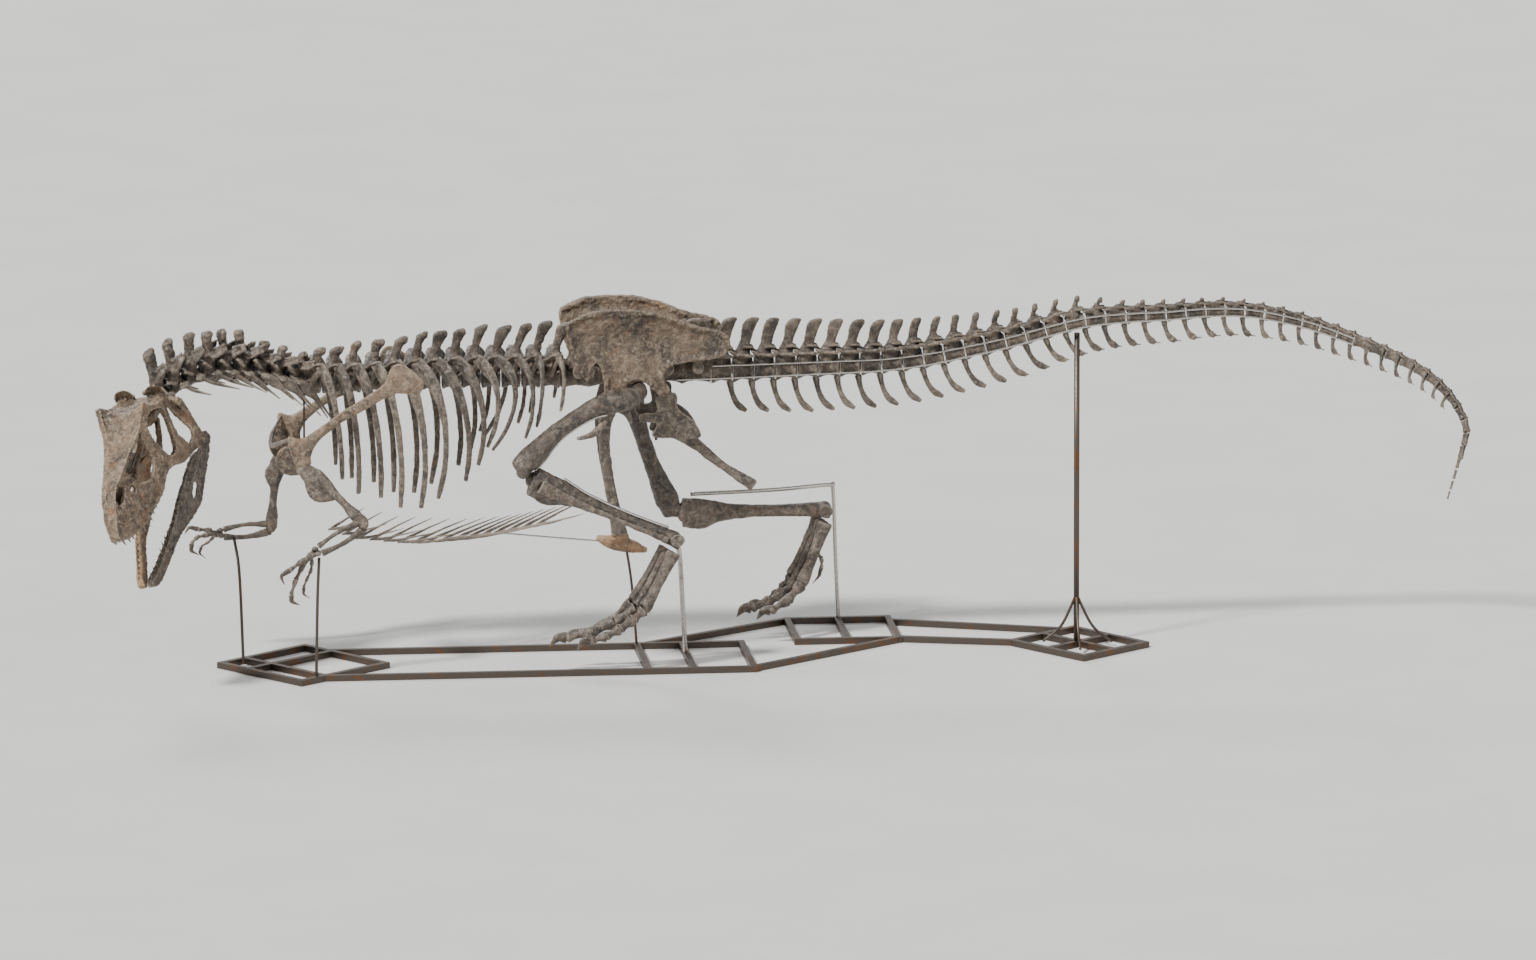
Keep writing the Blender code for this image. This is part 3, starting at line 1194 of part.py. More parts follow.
def build_steel():
    """The floor frames, their rails, the posts and the bars along the bones."""
    made = {}
    front = [(-2.363, -0.089), (-1.956, -0.613), (-1.466, -0.184), (-1.856, 0.338)]
    made["stand_front_frame"] = frame_ring("stand_front_frame", front, [0.33], [0.28])
    middle = [(-0.000, RAIL_NEAR_Y), (0.590, RAIL_NEAR_Y), (0.590, RAIL_FAR_Y), (-0.000, RAIL_FAR_Y)]
    made["stand_middle_frame"] = frame_ring("stand_middle_frame", middle, [0.43], [])
    side = [(0.910, 0.215), (1.480, 0.215), (1.480, 0.785), (0.910, 0.785)]
    made["stand_side_frame"] = frame_ring("stand_side_frame", side, [0.5], [])
    tail = [(2.107, 0.064), (2.458, -0.397), (2.845, -0.042), (2.491, 0.391)]
    made["stand_tail_frame"] = frame_ring("stand_tail_frame", tail, [0.5], [0.5])
    made["stand_rail_near"] = rail("stand_rail_near", (-1.830, RAIL_NEAR_Y), (0.010, RAIL_NEAR_Y))
    made["stand_rail_far"] = rail("stand_rail_far", (-1.745, RAIL_FAR_Y), (0.010, RAIL_FAR_Y))
    made["stand_brace_far"] = rail("stand_brace_far", (0.060, 0.205), (0.910, 0.785))
    made["stand_brace_near"] = rail("stand_brace_near", (0.590, -0.490), (1.480, 0.215))
    made["stand_rail_tail_far"] = rail("stand_rail_tail_far", (1.480, 0.700), (2.450, 0.345))
    made["stand_rail_tail_near"] = rail("stand_rail_tail_near", (1.480, 0.230), (2.140, 0.060))
    top = FRAME_BAR * 0.6
    posts = {
        "hand_right": (0.008, [(-2.236, -0.060, top), (-2.245, 0.080, 0.5), (-2.262, 0.235, 0.680)]),
        "hand_left": (0.008, [(-1.866, -0.507, top), (-1.858, -0.500, 0.45), (-1.846, -0.480, 0.700)]),
        "pubis": (0.007, [(0.000, 0.190, top), (-0.040, 0.080, 0.40), (-0.080, 0.010, 0.640)]),
        "leg_left": (0.013, [(0.250, -0.060, top), (0.225, -0.150, 0.30), (0.190, -0.330, 0.640),
                             (0.165, -0.370, 0.720)]),
        "leg_right": (POST_RADIUS, [(1.200, 0.770, top), (1.180, 0.740, 0.40), (1.160, 0.690, 0.790),
                                    (1.130, 0.640, 0.824), (0.800, 0.520, 0.827), (0.330, 0.450, 0.827)]),
    }
    for word, (radius, path) in posts.items():
        made[f"stand_post_{word}"] = rod(f"stand_post_{word}", path, radius)
    shin = [SHIN_TOP[1], SHIN_TOP[1].lerp(ANKLE[1], 0.5), ANKLE[1]]
    made["stand_bar_thigh"] = bone_bar("stand_bar_thigh", thigh_axes(1)[2], THIGH_HALF_UP, 4, 11,
                                       Vector((0.46, 0, -0.89)))
    made["stand_bar_shin"] = bone_bar("stand_bar_shin", shin,
                                      SHIN_HALF_UP, 2, 11, Vector((0.42, 0, 0.91)))
    centre_x, post_top = 2.461, 1.795
    foot = [tube([(centre_x, 0.0, top), (centre_x, 0.0, post_top)], [0.016], [0.016], 6, (1, 0, 0))]
    for x, y in tail:
        out = Vector((x - centre_x, y, 0)) * 0.52
        brace = [
            Vector((centre_x, 0, 0.300)), Vector((centre_x, 0, 0.120)) + out * 0.45,
            Vector((centre_x, 0, 0.028)) + out,
        ]
        foot.append(bent(brace, 4, [0.008], [0.008], 4, (-out.y, out.x, 0)))
    made["stand_post_tail"] = fuse("stand_post_tail", foot, STEEL)
    belly = [(-0.800, 0.000, 0.722), (-0.500, 0.000, 0.690), (-0.200, 0.000, 0.660)]
    made["stand_belly_wire"] = rod("stand_belly_wire", belly, 0.0045)
    hanger = [tube([(-1.886, 0, 1.580), (-1.886, 0, 1.265)], [0.006], [0.006], 6, (1, 0, 0)),
              tube([(-1.888, -0.345, 1.290), (-1.888, 0.345, 1.290)], [0.0065], [0.0065], 6, (1, 0, 0))]
    made["stand_shoulder_hanger"] = fuse("stand_shoulder_hanger", hanger, STEEL)
    for word, turn in (("upper", 1), ("lower", -1)):
        made[f"stand_tail_rod_{word}"] = rod(f"stand_tail_rod_{word}", tail_rod_path(turn), 0.0055, sides=5)
    return made


def main():
    global RUN
    clear_scene()
    RUN = Run(BACKBONE)
    made = {}
    made["skull"] = skull_node()
    made["jaw_left"] = jaw_node("jaw_left", 1)
    made["jaw_right"] = jaw_node("jaw_right", -1)
    made["neck"] = neck_node()
    made["rib_cage_left"] = rib_cage("rib_cage_left", 1)
    made["rib_cage_right"] = rib_cage("rib_cage_right", -1)
    made["sacrum"] = sacrum_node()
    stretches = [("tail_root", 0, 6), ("tail_middle", 12, 6), ("tail_rear", 24, 6), ("tail_tip", 36, 5)]
    for name, first, sides in stretches:
        made[name] = tail_node(name, first, first + 11, sides)
    made["gastralia"] = gastralia_node()
    made["furcula"] = furcula_node()
    made["pubis"] = pubis_node()
    made["ischium"] = ischium_node()
    for side, word in ((1, "left"), (-1, "right")):
        made[f"ilium_{word}"] = fuse(f"ilium_{word}", [ilium_shape(side)], BONE)
        made[f"scapula_{word}"] = fuse(f"scapula_{word}", scapula_shapes(side), BONE)
        made[f"humerus_{word}"] = fuse(f"humerus_{word}", humerus_shapes(side), BONE)
        made[f"radius_{word}"] = fuse(f"radius_{word}", forearm_bone(side, 1), BONE)
        made[f"ulna_{word}"] = fuse(f"ulna_{word}", forearm_bone(side, -1), BONE)
        made[f"hand_{word}"] = hand_node(f"hand_{word}", side)
        made[f"femur_{word}"] = fuse(f"femur_{word}", femur_shapes(side), BONE)
        made[f"tibia_{word}"] = fuse(f"tibia_{word}", shin_shapes(side, "tibia"), BONE)
        made[f"fibula_{word}"] = fuse(f"fibula_{word}", shin_shapes(side, "fibula"), BONE)
        made[f"foot_{word}"] = foot_node(f"foot_{word}", side)
    made.update(build_steel())

    meets = [
        ("skull", ["neck"]), ("jaw_left", ["skull"]), ("jaw_right", ["skull", "jaw_left"]),
        ("sacrum", ["rib_cage_left", "rib_cage_right"]),
        ("ilium_left", ["sacrum"]), ("ilium_right", ["sacrum"]),
        ("pubis", ["ilium_left", "ilium_right"]), ("ischium", ["ilium_left", "ilium_right", "pubis"]),
    ]
    meets += [
        ("scapula_left", ["rib_cage_left"]), ("scapula_right", ["rib_cage_right"]),
        ("furcula", ["scapula_left", "scapula_right"]),
        ("stand_shoulder_hanger", ["neck", "rib_cage_left", "rib_cage_right"]),
        ("stand_shoulder_hanger", ["scapula_left", "scapula_right", "humerus_left", "humerus_right"]),
        ("stand_belly_wire", ["gastralia", "pubis"]),
    ]
    for word in ("left", "right"):
        meets += [
            (f"femur_{word}", [f"ilium_{word}", "ischium", "pubis"]),
            (f"tibia_{word}", [f"femur_{word}"]),
            (f"fibula_{word}", [f"femur_{word}", f"tibia_{word}"]),
            (f"foot_{word}", [f"tibia_{word}", f"fibula_{word}"]),
            (f"humerus_{word}", [f"scapula_{word}"]),
            (f"radius_{word}", [f"humerus_{word}"]),
            (f"ulna_{word}", [f"humerus_{word}", f"radius_{word}"]),
            (f"hand_{word}", [f"radius_{word}", f"ulna_{word}"]),
        ]
    meets += [
        ("stand_post_hand_right", ["stand_front_frame", "radius_right", "ulna_right"]),
        ("stand_post_hand_left", ["stand_front_frame", "hand_left", "ulna_left", "radius_left"]),
        ("stand_post_pubis", ["stand_middle_frame", "pubis"]),
        ("stand_bar_thigh", ["femur_left", "ilium_left", "tibia_left", "pubis", "ischium"]),
        ("stand_bar_shin", ["tibia_left", "fibula_left", "femur_left", "foot_left"]),
        ("stand_post_leg_left", ["stand_middle_frame", "foot_left", "tibia_left", "fibula_left"]),
        ("stand_post_leg_right", ["stand_side_frame", "tibia_right", "fibula_right", "femur_right"]),
        ("stand_post_tail", ["stand_tail_frame", "tail_middle"]),
        ("stand_tail_rod_upper", ["tail_root", "tail_middle", "tail_rear"]),
        ("stand_tail_rod_lower", ["sacrum", "tail_root", "tail_middle", "tail_rear"]),
        ("stand_rail_near", ["stand_front_frame", "stand_middle_frame"]),
        ("stand_rail_far", ["stand_front_frame", "stand_middle_frame"]),
        ("stand_brace_far", ["stand_middle_frame", "stand_side_frame"]),
        ("stand_brace_near", ["stand_middle_frame", "stand_side_frame"]),
        ("stand_rail_tail_far", ["stand_side_frame", "stand_tail_frame"]),
        ("stand_rail_tail_near", ["stand_side_frame", "stand_tail_frame"]),
    ]
    for name, others in meets:
        carve(made[name], [made[o] for o in others], TOUCH_GAP * 1.2)


main()
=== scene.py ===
"""The looks of a mounted skeleton of a large two-legged dinosaur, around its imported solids.

Metres, +Z up. The animal faces -X, its left side faces -Y, and the floor is z = 0.
"""

import logging
import math
from dataclasses import dataclass, field
from enum import Enum
from typing import Callable, Sequence

import bmesh
import bpy
import numpy as np
from mathutils import Matrix, Vector
from mathutils.geometry import delaunay_2d_cdt


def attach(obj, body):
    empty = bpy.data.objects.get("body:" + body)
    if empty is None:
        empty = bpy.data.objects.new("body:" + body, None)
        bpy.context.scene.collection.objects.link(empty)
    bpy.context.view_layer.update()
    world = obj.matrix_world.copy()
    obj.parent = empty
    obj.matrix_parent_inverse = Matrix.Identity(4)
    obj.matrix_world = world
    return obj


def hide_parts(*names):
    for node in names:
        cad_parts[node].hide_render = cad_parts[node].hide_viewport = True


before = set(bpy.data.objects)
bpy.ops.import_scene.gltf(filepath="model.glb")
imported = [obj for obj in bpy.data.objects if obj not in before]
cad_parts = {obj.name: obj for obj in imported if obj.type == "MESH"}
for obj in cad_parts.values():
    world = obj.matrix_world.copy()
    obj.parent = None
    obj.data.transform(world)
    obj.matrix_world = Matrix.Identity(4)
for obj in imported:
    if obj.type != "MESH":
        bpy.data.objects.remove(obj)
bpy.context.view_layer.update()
LOG = logging.getLogger("mount")

Shape = tuple[list[Vector], list[tuple[int, ...]]]
Points = Sequence[Sequence[float]]
Span = Sequence[float]

DOWN = Vector((0, 0, -1))


class Side(Enum):
    """The two sides of the animal. The left faces -Y."""

    LEFT = 1
    RIGHT = -1

    @property
    def word(self) -> str:
        """The side's name as the solids have it."""
        return self.name.lower()

    @property
    def out(self) -> Vector:
        """The direction away from the middle on this side."""
        return Vector((0, -self.value, 0))


# Curves and closed shapes
def smooth_path(points: Points, count: int, closed: bool = False) -> np.ndarray:
    """Samples a Catmull-Rom curve at even steps.

    Args:
        points: The points that the curve passes.
        count: How many samples to take.
        closed: Whether the curve comes back to its start.

    Returns:
        The samples, one row each.
    """
    pts = np.array([tuple(p) for p in points], float)
    if closed:
        padded = np.vstack([pts[-1], pts, pts[0], pts[1]])
    else:
        padded = np.vstack([2 * pts[0] - pts[1], pts, 2 * pts[-1] - pts[-2]])
    dense = []
    for a, b, c, d in zip(padded, padded[1:], padded[2:], padded[3:]):
        for t in np.linspace(0, 1, 16, endpoint=False):
            dense.append(0.5 * (2 * b + (c - a) * t + (2 * a - 5 * b + 4 * c - d) * t**2
                                + (3 * b - a - 3 * c + d) * t**3))
    dense = np.array(dense + [pts[0] if closed else pts[-1]])
    length = np.concatenate([[0], np.cumsum(np.linalg.norm(np.diff(dense, axis=0), axis=1))])
    steps = np.linspace(0, length[-1], count, endpoint=not closed)
    return np.column_stack([np.interp(steps, length, dense[:, k]) for k in range(dense.shape[1])])


def spread(values: Span, count: int) -> np.ndarray:
    """A short list of values read at count even steps."""
    return np.interp(np.linspace(0, 1, count), np.linspace(0, 1, len(values)), values)


def ring(centre: Vector, side: Vector, up: Vector, half_side: float, half_up: float,
         sides: int) -> list[Vector]:
    """The points of an ellipse.

    Args:
        centre: Its middle.
        side: The direction of its first half axis.
        up: The direction of its second half axis.
        half_side: The first half axis.
        half_up: The second half axis.
        sides: How many points it has.

    Returns:
        The points in order.
    """
    steps = [2 * math.pi * k / sides for k in range(sides)]
    return [centre + side * (half_side * math.cos(t)) + up * (half_up * math.sin(t)) for t in steps]


def loft(rings: list[list[Vector]]) -> Shape:
    """A closed skin over rings that have the same number of points."""
    sides = len(rings[0])
    points = [p for loop in rings for p in loop]
    faces = [tuple(range(sides))[::-1]]
    for row in range(len(rings) - 1):
        for k in range(sides):
            a, b = row * sides + k, row * sides + (k + 1) % sides
            faces.append((a, b, b + sides, a + sides))
    faces.append(tuple(range(len(points) - sides, len(points))))
    return points, faces


def bent(points: Points, count: int, half_side: Span, half_up: Span, sides: int = 10,
         hint: Sequence[float] = (0, 1, 0)) -> Shape:
    """A tube of changing oval section along a smooth curve.

    Args:
        points: The points that its middle passes.
        count: How many rings it has.
        half_side: Half sizes along the hint, spread over the length.
        half_up: Half sizes across the hint, spread over the length.
        sides: Points of each ring.
        hint: The direction that half_side is measured in.

    Returns:
        The closed shape.
    """
    pts = [Vector(p) for p in (smooth_path(points, count) if count > 2 else points)]
    wide, tall, lead = spread(half_side, len(pts)), spread(half_up, len(pts)), Vector(hint)
    rings = []
    for k, p in enumerate(pts):
        tangent = (pts[min(k + 1, len(pts) - 1)] - pts[max(k - 1, 0)]).normalized()
        side = (lead - tangent * lead.dot(tangent)).normalized()
        rings.append(ring(p, side, tangent.cross(side), wide[k], tall[k], sides))
    return loft(rings)


def blob(centre: Vector, radii: Sequence[float], axes: Sequence[Vector] | None = None) -> Shape:
    """An ellipsoid.

    Args:
        centre: Its middle.
        radii: Its three half axes.
        axes: Their directions, or None for X, Y and Z.

    Returns:
        The closed shape.
    """
    one, two, three = axes or (Vector((1, 0, 0)), Vector((0, 1, 0)), Vector((0, 0, 1)))
    rings = []
    for t in np.linspace(0.12, math.pi - 0.12, 8):
        rings.append(ring(Vector(centre) + three * (radii[2] * math.cos(t)), one, two,
                          radii[0] * math.sin(t), radii[1] * math.sin(t), 12))
    return loft(rings)


def inside(point: Sequence[float], polygon: Points) -> bool:
    """Whether the flat point lies in the polygon."""
    hits = 0
    for k in range(len(polygon)):
        a, b = polygon[k - 1], polygon[k]
        if (a[1] > point[1]) != (b[1] > point[1]):
            hits += point[0] < a[0] + (b[0] - a[0]) * (point[1] - a[1]) / (b[1] - a[1])
    return hits % 2 == 1


def edge_distance(point: Sequence[float], loops: Sequence[Points]) -> float:
    """How far the flat point is from the nearest edge of the loops."""
    best, p = 1e9, np.array(point, float)
    for loop in loops:
        a = np.array(loop, float)
        d = np.roll(a, -1, axis=0) - a
        t = np.clip(((p - a) * d).sum(1) / np.maximum((d * d).sum(1), 1e-12), 0, 1)
        best = min(best, float(np.linalg.norm(a + d * t[:, None] - p, axis=1).min()))
    return best


def plate(outline: Points, holes: Sequence[Points], place: Callable[[float, float], Vector],
          offset: Callable[[float, float], Vector], fill: float = 0.0) -> Shape:
    """A plate with holes, with points inside it so that it can curve.

    Args:
        outline: Its flat outline.
        holes: The flat outlines of its holes.
        place: Maps a flat point to the middle of the plate.
        offset: Gives half the plate's thickness at a flat point, as a vector.
        fill: The step between the points inside, or 0 for none.

    Returns:
        The closed shape.
    """
    loops = [outline, *holes]
    flat, edges = [], []
    for loop in loops:
        start, size = len(flat), len(loop)
        flat += [Vector(p) for p in loop]
        edges += [(start + k, start + (k + 1) % size) for k in range(size)]
    if fill:
        low, high = np.min(outline, axis=0), np.max(outline, axis=0)
        for x in np.arange(low[0] + fill / 2, high[0], fill):
            for y in np.arange(low[1] + fill / 2, high[1], fill):
                if inside((x, y), outline) and edge_distance((x, y), loops) > fill * 0.4:
                    flat.append(Vector((x, y)))
    made = delaunay_2d_cdt(flat, edges, [], 1, 1e-6)
    corners, faces = made[0], []
    for face in made[2]:
        middle = sum((corners[k] for k in face), Vector((0, 0))) / len(face)
        if not any(inside(middle, hole) for hole in holes):
            faces.append(tuple(face))
    front = [place(p.x, p.y) + offset(p.x, p.y) for p in corners]
    back = [place(p.x, p.y) - offset(p.x, p.y) for p in corners]
    count = len(corners)
    skin = faces + [tuple(k + count for k in reversed(f)) for f in faces]
    used = {pair for f in faces for pair in zip(f, f[1:] + f[:1])}
    skin += [(b, a, a + count, b + count) for a, b in used if (b, a) not in used]
    return front + back, skin


def rounded(outline: Points, step: float = 0.018) -> list[tuple[float, float]]:
    """A smooth closed outline through the corners of a rough one."""
    pts = np.array(outline, float)
    count = max(12, int(np.linalg.norm(np.roll(pts, -1, axis=0) - pts, axis=1).sum() / step))
    return [tuple(p) for p in smooth_path(outline, count, closed=True)]


def moved(shapes: list[Shape], matrix: Matrix) -> list[Shape]:
    """The same shapes set by the matrix."""
    return [([matrix @ p for p in points], faces) for points, faces in shapes]


def mirrored(shapes: list[Shape]) -> list[Shape]:
    """The same shapes on the other side of the animal."""
    flip = Matrix.Scale(-1, 4, Vector((0, 1, 0)))
    return [([flip @ p for p in points], [f[::-1] for f in faces]) for points, faces in shapes]


# Meshes
@dataclass(frozen=True)
class Clay:
    """How finely a bone is sculpted and how uneven its surface is."""

    voxel: float = 0.0052
    rounds: int = 3
    lump: float = 0.006
    lump_size: float = 0.050
    pit: float = 0.0026
    pit_size: float = 0.014

    def cloud(self, size: float) -> bpy.types.Texture:
        """The cloud pattern with features of that size."""
        name = f"cloud_{size:.4f}"
        made = bpy.data.textures.get(name)
        if made is None:
            made = bpy.data.textures.new(name, "CLOUDS")
            made.noise_scale = size
            made.noise_depth = 2
        return made

    def sculpt(self, shapes: list[Shape]) -> bpy.types.Mesh:
        """Melts shapes into one uneven bone.

        Args:
            shapes: Closed shapes that overlap where they join.

        Returns:
            The bone's mesh.
        """
        rough = bpy.data.objects.new("rough", raw_mesh(shapes))
        bpy.context.scene.collection.objects.link(rough)
        melt = rough.modifiers.new("melt", "REMESH")
        melt.mode = "VOXEL"
        melt.voxel_size = self.voxel * 1.12
        rub = rough.modifiers.new("rub", "SMOOTH")
        rub.factor, rub.iterations = 0.5, self.rounds
        for size, strength in ((self.lump_size, self.lump), (self.pit_size, self.pit)):
            wear = rough.modifiers.new("wear", "DISPLACE")
            wear.texture, wear.strength, wear.mid_level = self.cloud(size), strength, 0.5
            wear.texture_coords = "GLOBAL"
        graph = bpy.context.evaluated_depsgraph_get()
        made = bpy.data.meshes.new_from_object(rough.evaluated_get(graph))
        old = rough.data
        bpy.data.objects.remove(rough)
        bpy.data.meshes.remove(old)
        return made


def raw_mesh(shapes: list[Shape]) -> bpy.types.Mesh:
    """One mesh with all the shapes in it, their faces turned outwards."""
    points, faces = [], []
    for some, rows in shapes:
        start = len(points)
        points += [tuple(p) for p in some]
        faces += [tuple(k + start for k in row) for row in rows]
    mesh = bpy.data.meshes.new("raw")
    mesh.from_pydata(points, [], faces)
    work = bmesh.new()
    work.from_mesh(mesh)
    bmesh.ops.recalc_face_normals(work, faces=work.faces)
    work.to_mesh(mesh)
    work.free()
    return mesh


def show(name: str, meshes: list[bpy.types.Mesh], finish: "Finish", nodes: Sequence[str] = (),
         bevel: float = 0.0) -> bpy.types.Object:
    """Joins meshes into one piece that rides on the mount.

    Args:
        name: The piece's name.
        meshes: What it is made of.
        finish: What its surface is.
        nodes: The solids that it stands for.
        bevel: How far its sharp edges are rounded.

    Returns:
        The piece.
    """
    work = bmesh.new()
    for mesh in meshes:
        work.from_mesh(mesh)
    joined = bpy.data.meshes.new(name)
    work.to_mesh(joined)
    work.free()
    for mesh in meshes:
        bpy.data.meshes.remove(mesh)
    joined.materials.clear()
    joined.materials.append(finish.material())
    joined.polygons.foreach_set("use_smooth", [not bevel] * len(joined.polygons))
    joined.polygons.foreach_set("material_index", [0] * len(joined.polygons))
    made = bpy.data.objects.new(name, joined)
    bpy.context.scene.collection.objects.link(made)
    if bevel:
        edge = made.modifiers.new("edge", "BEVEL")
        edge.width, edge.segments = bevel, 2
    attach(made, "root")
    if nodes:
        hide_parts(*nodes)
    LOG.info("%s: %d faces", name, len(joined.polygons))
    return made


# Finishes
class Mixer:
    """Adds shader nodes to one material."""

    def __init__(self, name: str) -> None:
        """Starts the material of that name."""
        self.material = bpy.data.materials.new(name)
        self.material.use_nodes = True
        self.tree = self.material.node_tree
        self.shader = self.tree.nodes["Principled BSDF"]
        self.place = self.node("TexCoord", {}).outputs["Object"]

    def node(self, kind: str, feeds: dict, **settings) -> bpy.types.Node:
        """Adds a node.

        Args:
            kind: Its type, without the leading word.
            feeds: A value or another node's output for each of its inputs.
            **settings: Its own settings.

        Returns:
            The node.
        """
        made = self.tree.nodes.new("ShaderNode" + kind)
        for key, value in settings.items():
            setattr(made, key, value)
        for key, value in feeds.items():
            self.feed(made.inputs[key], value)
        return made

    def feed(self, socket: bpy.types.NodeSocket, value: object) -> None:
        """Sets an input to a value, or links another node's output to it."""
        if isinstance(value, bpy.types.NodeSocket):
            self.tree.links.new(value, socket)
        else:
            socket.default_value = value

    def noise(self, scale: float, detail: float = 6.0, rough: float = 0.6,
              twist: float = 0.0) -> bpy.types.NodeSocket:
        """A cloud pattern.

        Args:
            scale: Features for each metre.
            detail: Layers of finer features.
            rough: How strong the finer ones are.
            twist: How far it is distorted.

        Returns:
            Its value.
        """
        made = self.node("TexNoise", {"Vector": self.place, "Scale": scale, "Detail": detail,
                                      "Roughness": rough, "Distortion": twist})
        return made.outputs["Fac"]

    def step(self, value: bpy.types.NodeSocket, low: float, high: float, to_low: float = 0.0,
             to_high: float = 1.0) -> bpy.types.NodeSocket:
        """Maps values from low to high onto to_low to to_high, with soft ends."""
        made = self.node("MapRange", {0: value, 1: low, 2: high, 3: to_low, 4: to_high},
                         interpolation_type="SMOOTHSTEP")
        return made.outputs[0]

    def mix(self, share: object, a: object, b: object, how: str = "MIX") -> bpy.types.NodeSocket:
        """Mixes two colours by a share, in one of Blender's ways."""
        made = self.node("Mix", {0: share, 6: a, 7: b}, data_type="RGBA", blend_type=how)
        return made.outputs[2]

    def math(self, how: str, a: object, b: object) -> bpy.types.NodeSocket:
        """A sum on two values."""
        return self.node("Math", {0: a, 1: b}, operation=how).outputs[0]


class Finish:
    """A surface that is built once and then shared."""

    name: str
    slot: str

    def material(self) -> bpy.types.Material:
        """The material, made on first use."""
        return bpy.data.materials.get(self.name) or self.build()

    def build(self) -> bpy.types.Material:
        """Makes the material."""
        return Mixer(self.name).material


@dataclass(frozen=True)
class BoneFinish(Finish):
    """Lacquered fossil bone: brown clouds, pale ridges that are partly worn and partly a painted highlight,
    rust stains, and painted shade in its hollows.
    """

    name: str
    slot: str
    dark: tuple[float, float, float]
    middle: tuple[float, float, float]
    pale: tuple[float, float, float]
    rust: tuple[float, float, float] = (0.205, 0.088, 0.034)
    # Near-black used both for soot stains and for the painted shade in hollows.
    soot_and_shade: tuple[float, float, float] = (0.010, 0.008, 0.007)
    rust_share: float = 0.40
    pale_share: float = 0.55
    grain: float = 1.0
    relief: float = 0.75
    gloss: float = 0.44

    def colour(self, m: Mixer) -> bpy.types.NodeSocket:
        """Builds the colour.

        Args:
            m: The material's mixer.

        Returns:
            The colour's output.
        """
        geometry = m.node("NewGeometry", {})
        cloud, blotch = m.noise(6.0, 7.0, 0.60, 0.6), m.noise(31.0, 9.0, 0.68, 0.5)
        colour = m.mix(m.step(cloud, 0.36, 0.64), (*self.dark, 1), (*self.middle, 1))
        pale = m.math("MULTIPLY", m.step(blotch, 0.42, 0.68), self.pale_share)
        colour = m.mix(pale, colour, (*self.pale, 1))
        rust = m.step(m.noise(13.0, 9.0, 0.74, 1.2), 0.53, 0.68)
        colour = m.mix(m.math("MULTIPLY", rust, self.rust_share), colour, (*self.rust, 1))
        stain = m.step(m.noise(19.0, 8.0, 0.70, 1.5), 0.54, 0.66)
        colour = m.mix(m.math("MULTIPLY", stain, 0.60), colour, (*self.soot_and_shade, 1))
        grit = m.step(m.noise(190.0 * self.grain, 5.0, 0.75), 0.30, 0.70, 0.52, 1.48)
        fine = m.node("CombineColor", {0: grit, 1: grit, 2: grit})
        colour = m.mix(1.0, colour, fine.outputs[0], "MULTIPLY")
        # Pointiness paints ridges and edges pale: partly worn bone, partly a painted highlight.
        ridge = m.step(geometry.outputs["Pointiness"], 0.505, 0.575)
        colour = m.mix(m.math("MULTIPLY", ridge, 0.76), colour, (*self.pale, 1))
        # Painted shade: ambient occlusion darkens hollows and the gaps between bones towards the near-black.
        shade = m.node("AmbientOcclusion", {"Distance": 0.045}, samples=5, only_local=True)
        painted_shade = m.step(shade.outputs["AO"], 0.30, 0.86, 0.88, 0.0)
        colour = m.mix(painted_shade, colour, (*self.soot_and_shade, 1))
        tint = m.step(geometry.outputs["Random Per Island"], 0.0, 1.0, 0.76, 1.22)
        tone = m.node("CombineColor", {0: tint, 1: tint, 2: tint})
        return m.mix(1.0, colour, tone.outputs[0], "MULTIPLY")

    def build(self) -> bpy.types.Material:
        """Makes the material."""
        m = Mixer(self.name)
        m.feed(m.shader.inputs["Base Color"], self.colour(m))
        rough = m.step(m.noise(42.0, 6.0, 0.7), 0.35, 0.66, self.gloss - 0.14, self.gloss + 0.20)
        m.feed(m.shader.inputs["Roughness"], rough)
        m.shader.inputs["Coat Weight"].default_value = 0.16
        m.shader.inputs["Coat Roughness"].default_value = 0.28
        lumps = m.math("MULTIPLY", m.noise(46.0 * self.grain, 8.0, 0.74, 0.4), 1.6)
        height = m.math("ADD", lumps, m.math("MULTIPLY", m.noise(230.0 * self.grain, 4.0, 0.7), 0.6))
        pits = m.node("TexVoronoi", {"Vector": m.place, "Scale": 105.0 * self.grain})
        height = m.math("ADD", height, m.step(pits.outputs["Distance"], 0.08, 0.36, -0.35, 0.0))
        bump = m.node("Bump", {"Strength": self.relief, "Distance": 0.007, "Height": height})
        m.feed(m.shader.inputs["Normal"], bump.outputs[0])
        return m.material


@dataclass(frozen=True)
class SteelFinish(Finish):
    """Mild steel under a dark wax, or polished rod."""

    name: str
    slot: str
    base: tuple[float, float, float]
    stain: tuple[float, float, float]
    rough: float
    stain_from: float = 0.52

    def build(self) -> bpy.types.Material:
        """Makes the material."""
        m = Mixer(self.name)
        patch = m.step(m.noise(9.0, 8.0, 0.65, 0.6), self.stain_from, self.stain_from + 0.14)
        colour = m.mix(patch, (*self.base, 1), (*self.stain, 1))
        speck = m.step(m.noise(140.0, 3.0), 0.55, 0.70)
        colour = m.mix(m.math("MULTIPLY", speck, 0.4), colour, (*self.stain, 1))
        m.feed(m.shader.inputs["Base Color"], colour)
        m.shader.inputs["Metallic"].default_value = 0.85
        fine = m.step(m.noise(70.0, 5.0), 0.35, 0.65, self.rough - 0.07, self.rough + 0.10)
        m.feed(m.shader.inputs["Roughness"], fine)
        bump = m.node("Bump", {"Strength": 0.25, "Distance": 0.0015, "Height": m.noise(160.0, 4.0)})
        m.feed(m.shader.inputs["Normal"], bump.outputs[0])
        return m.material


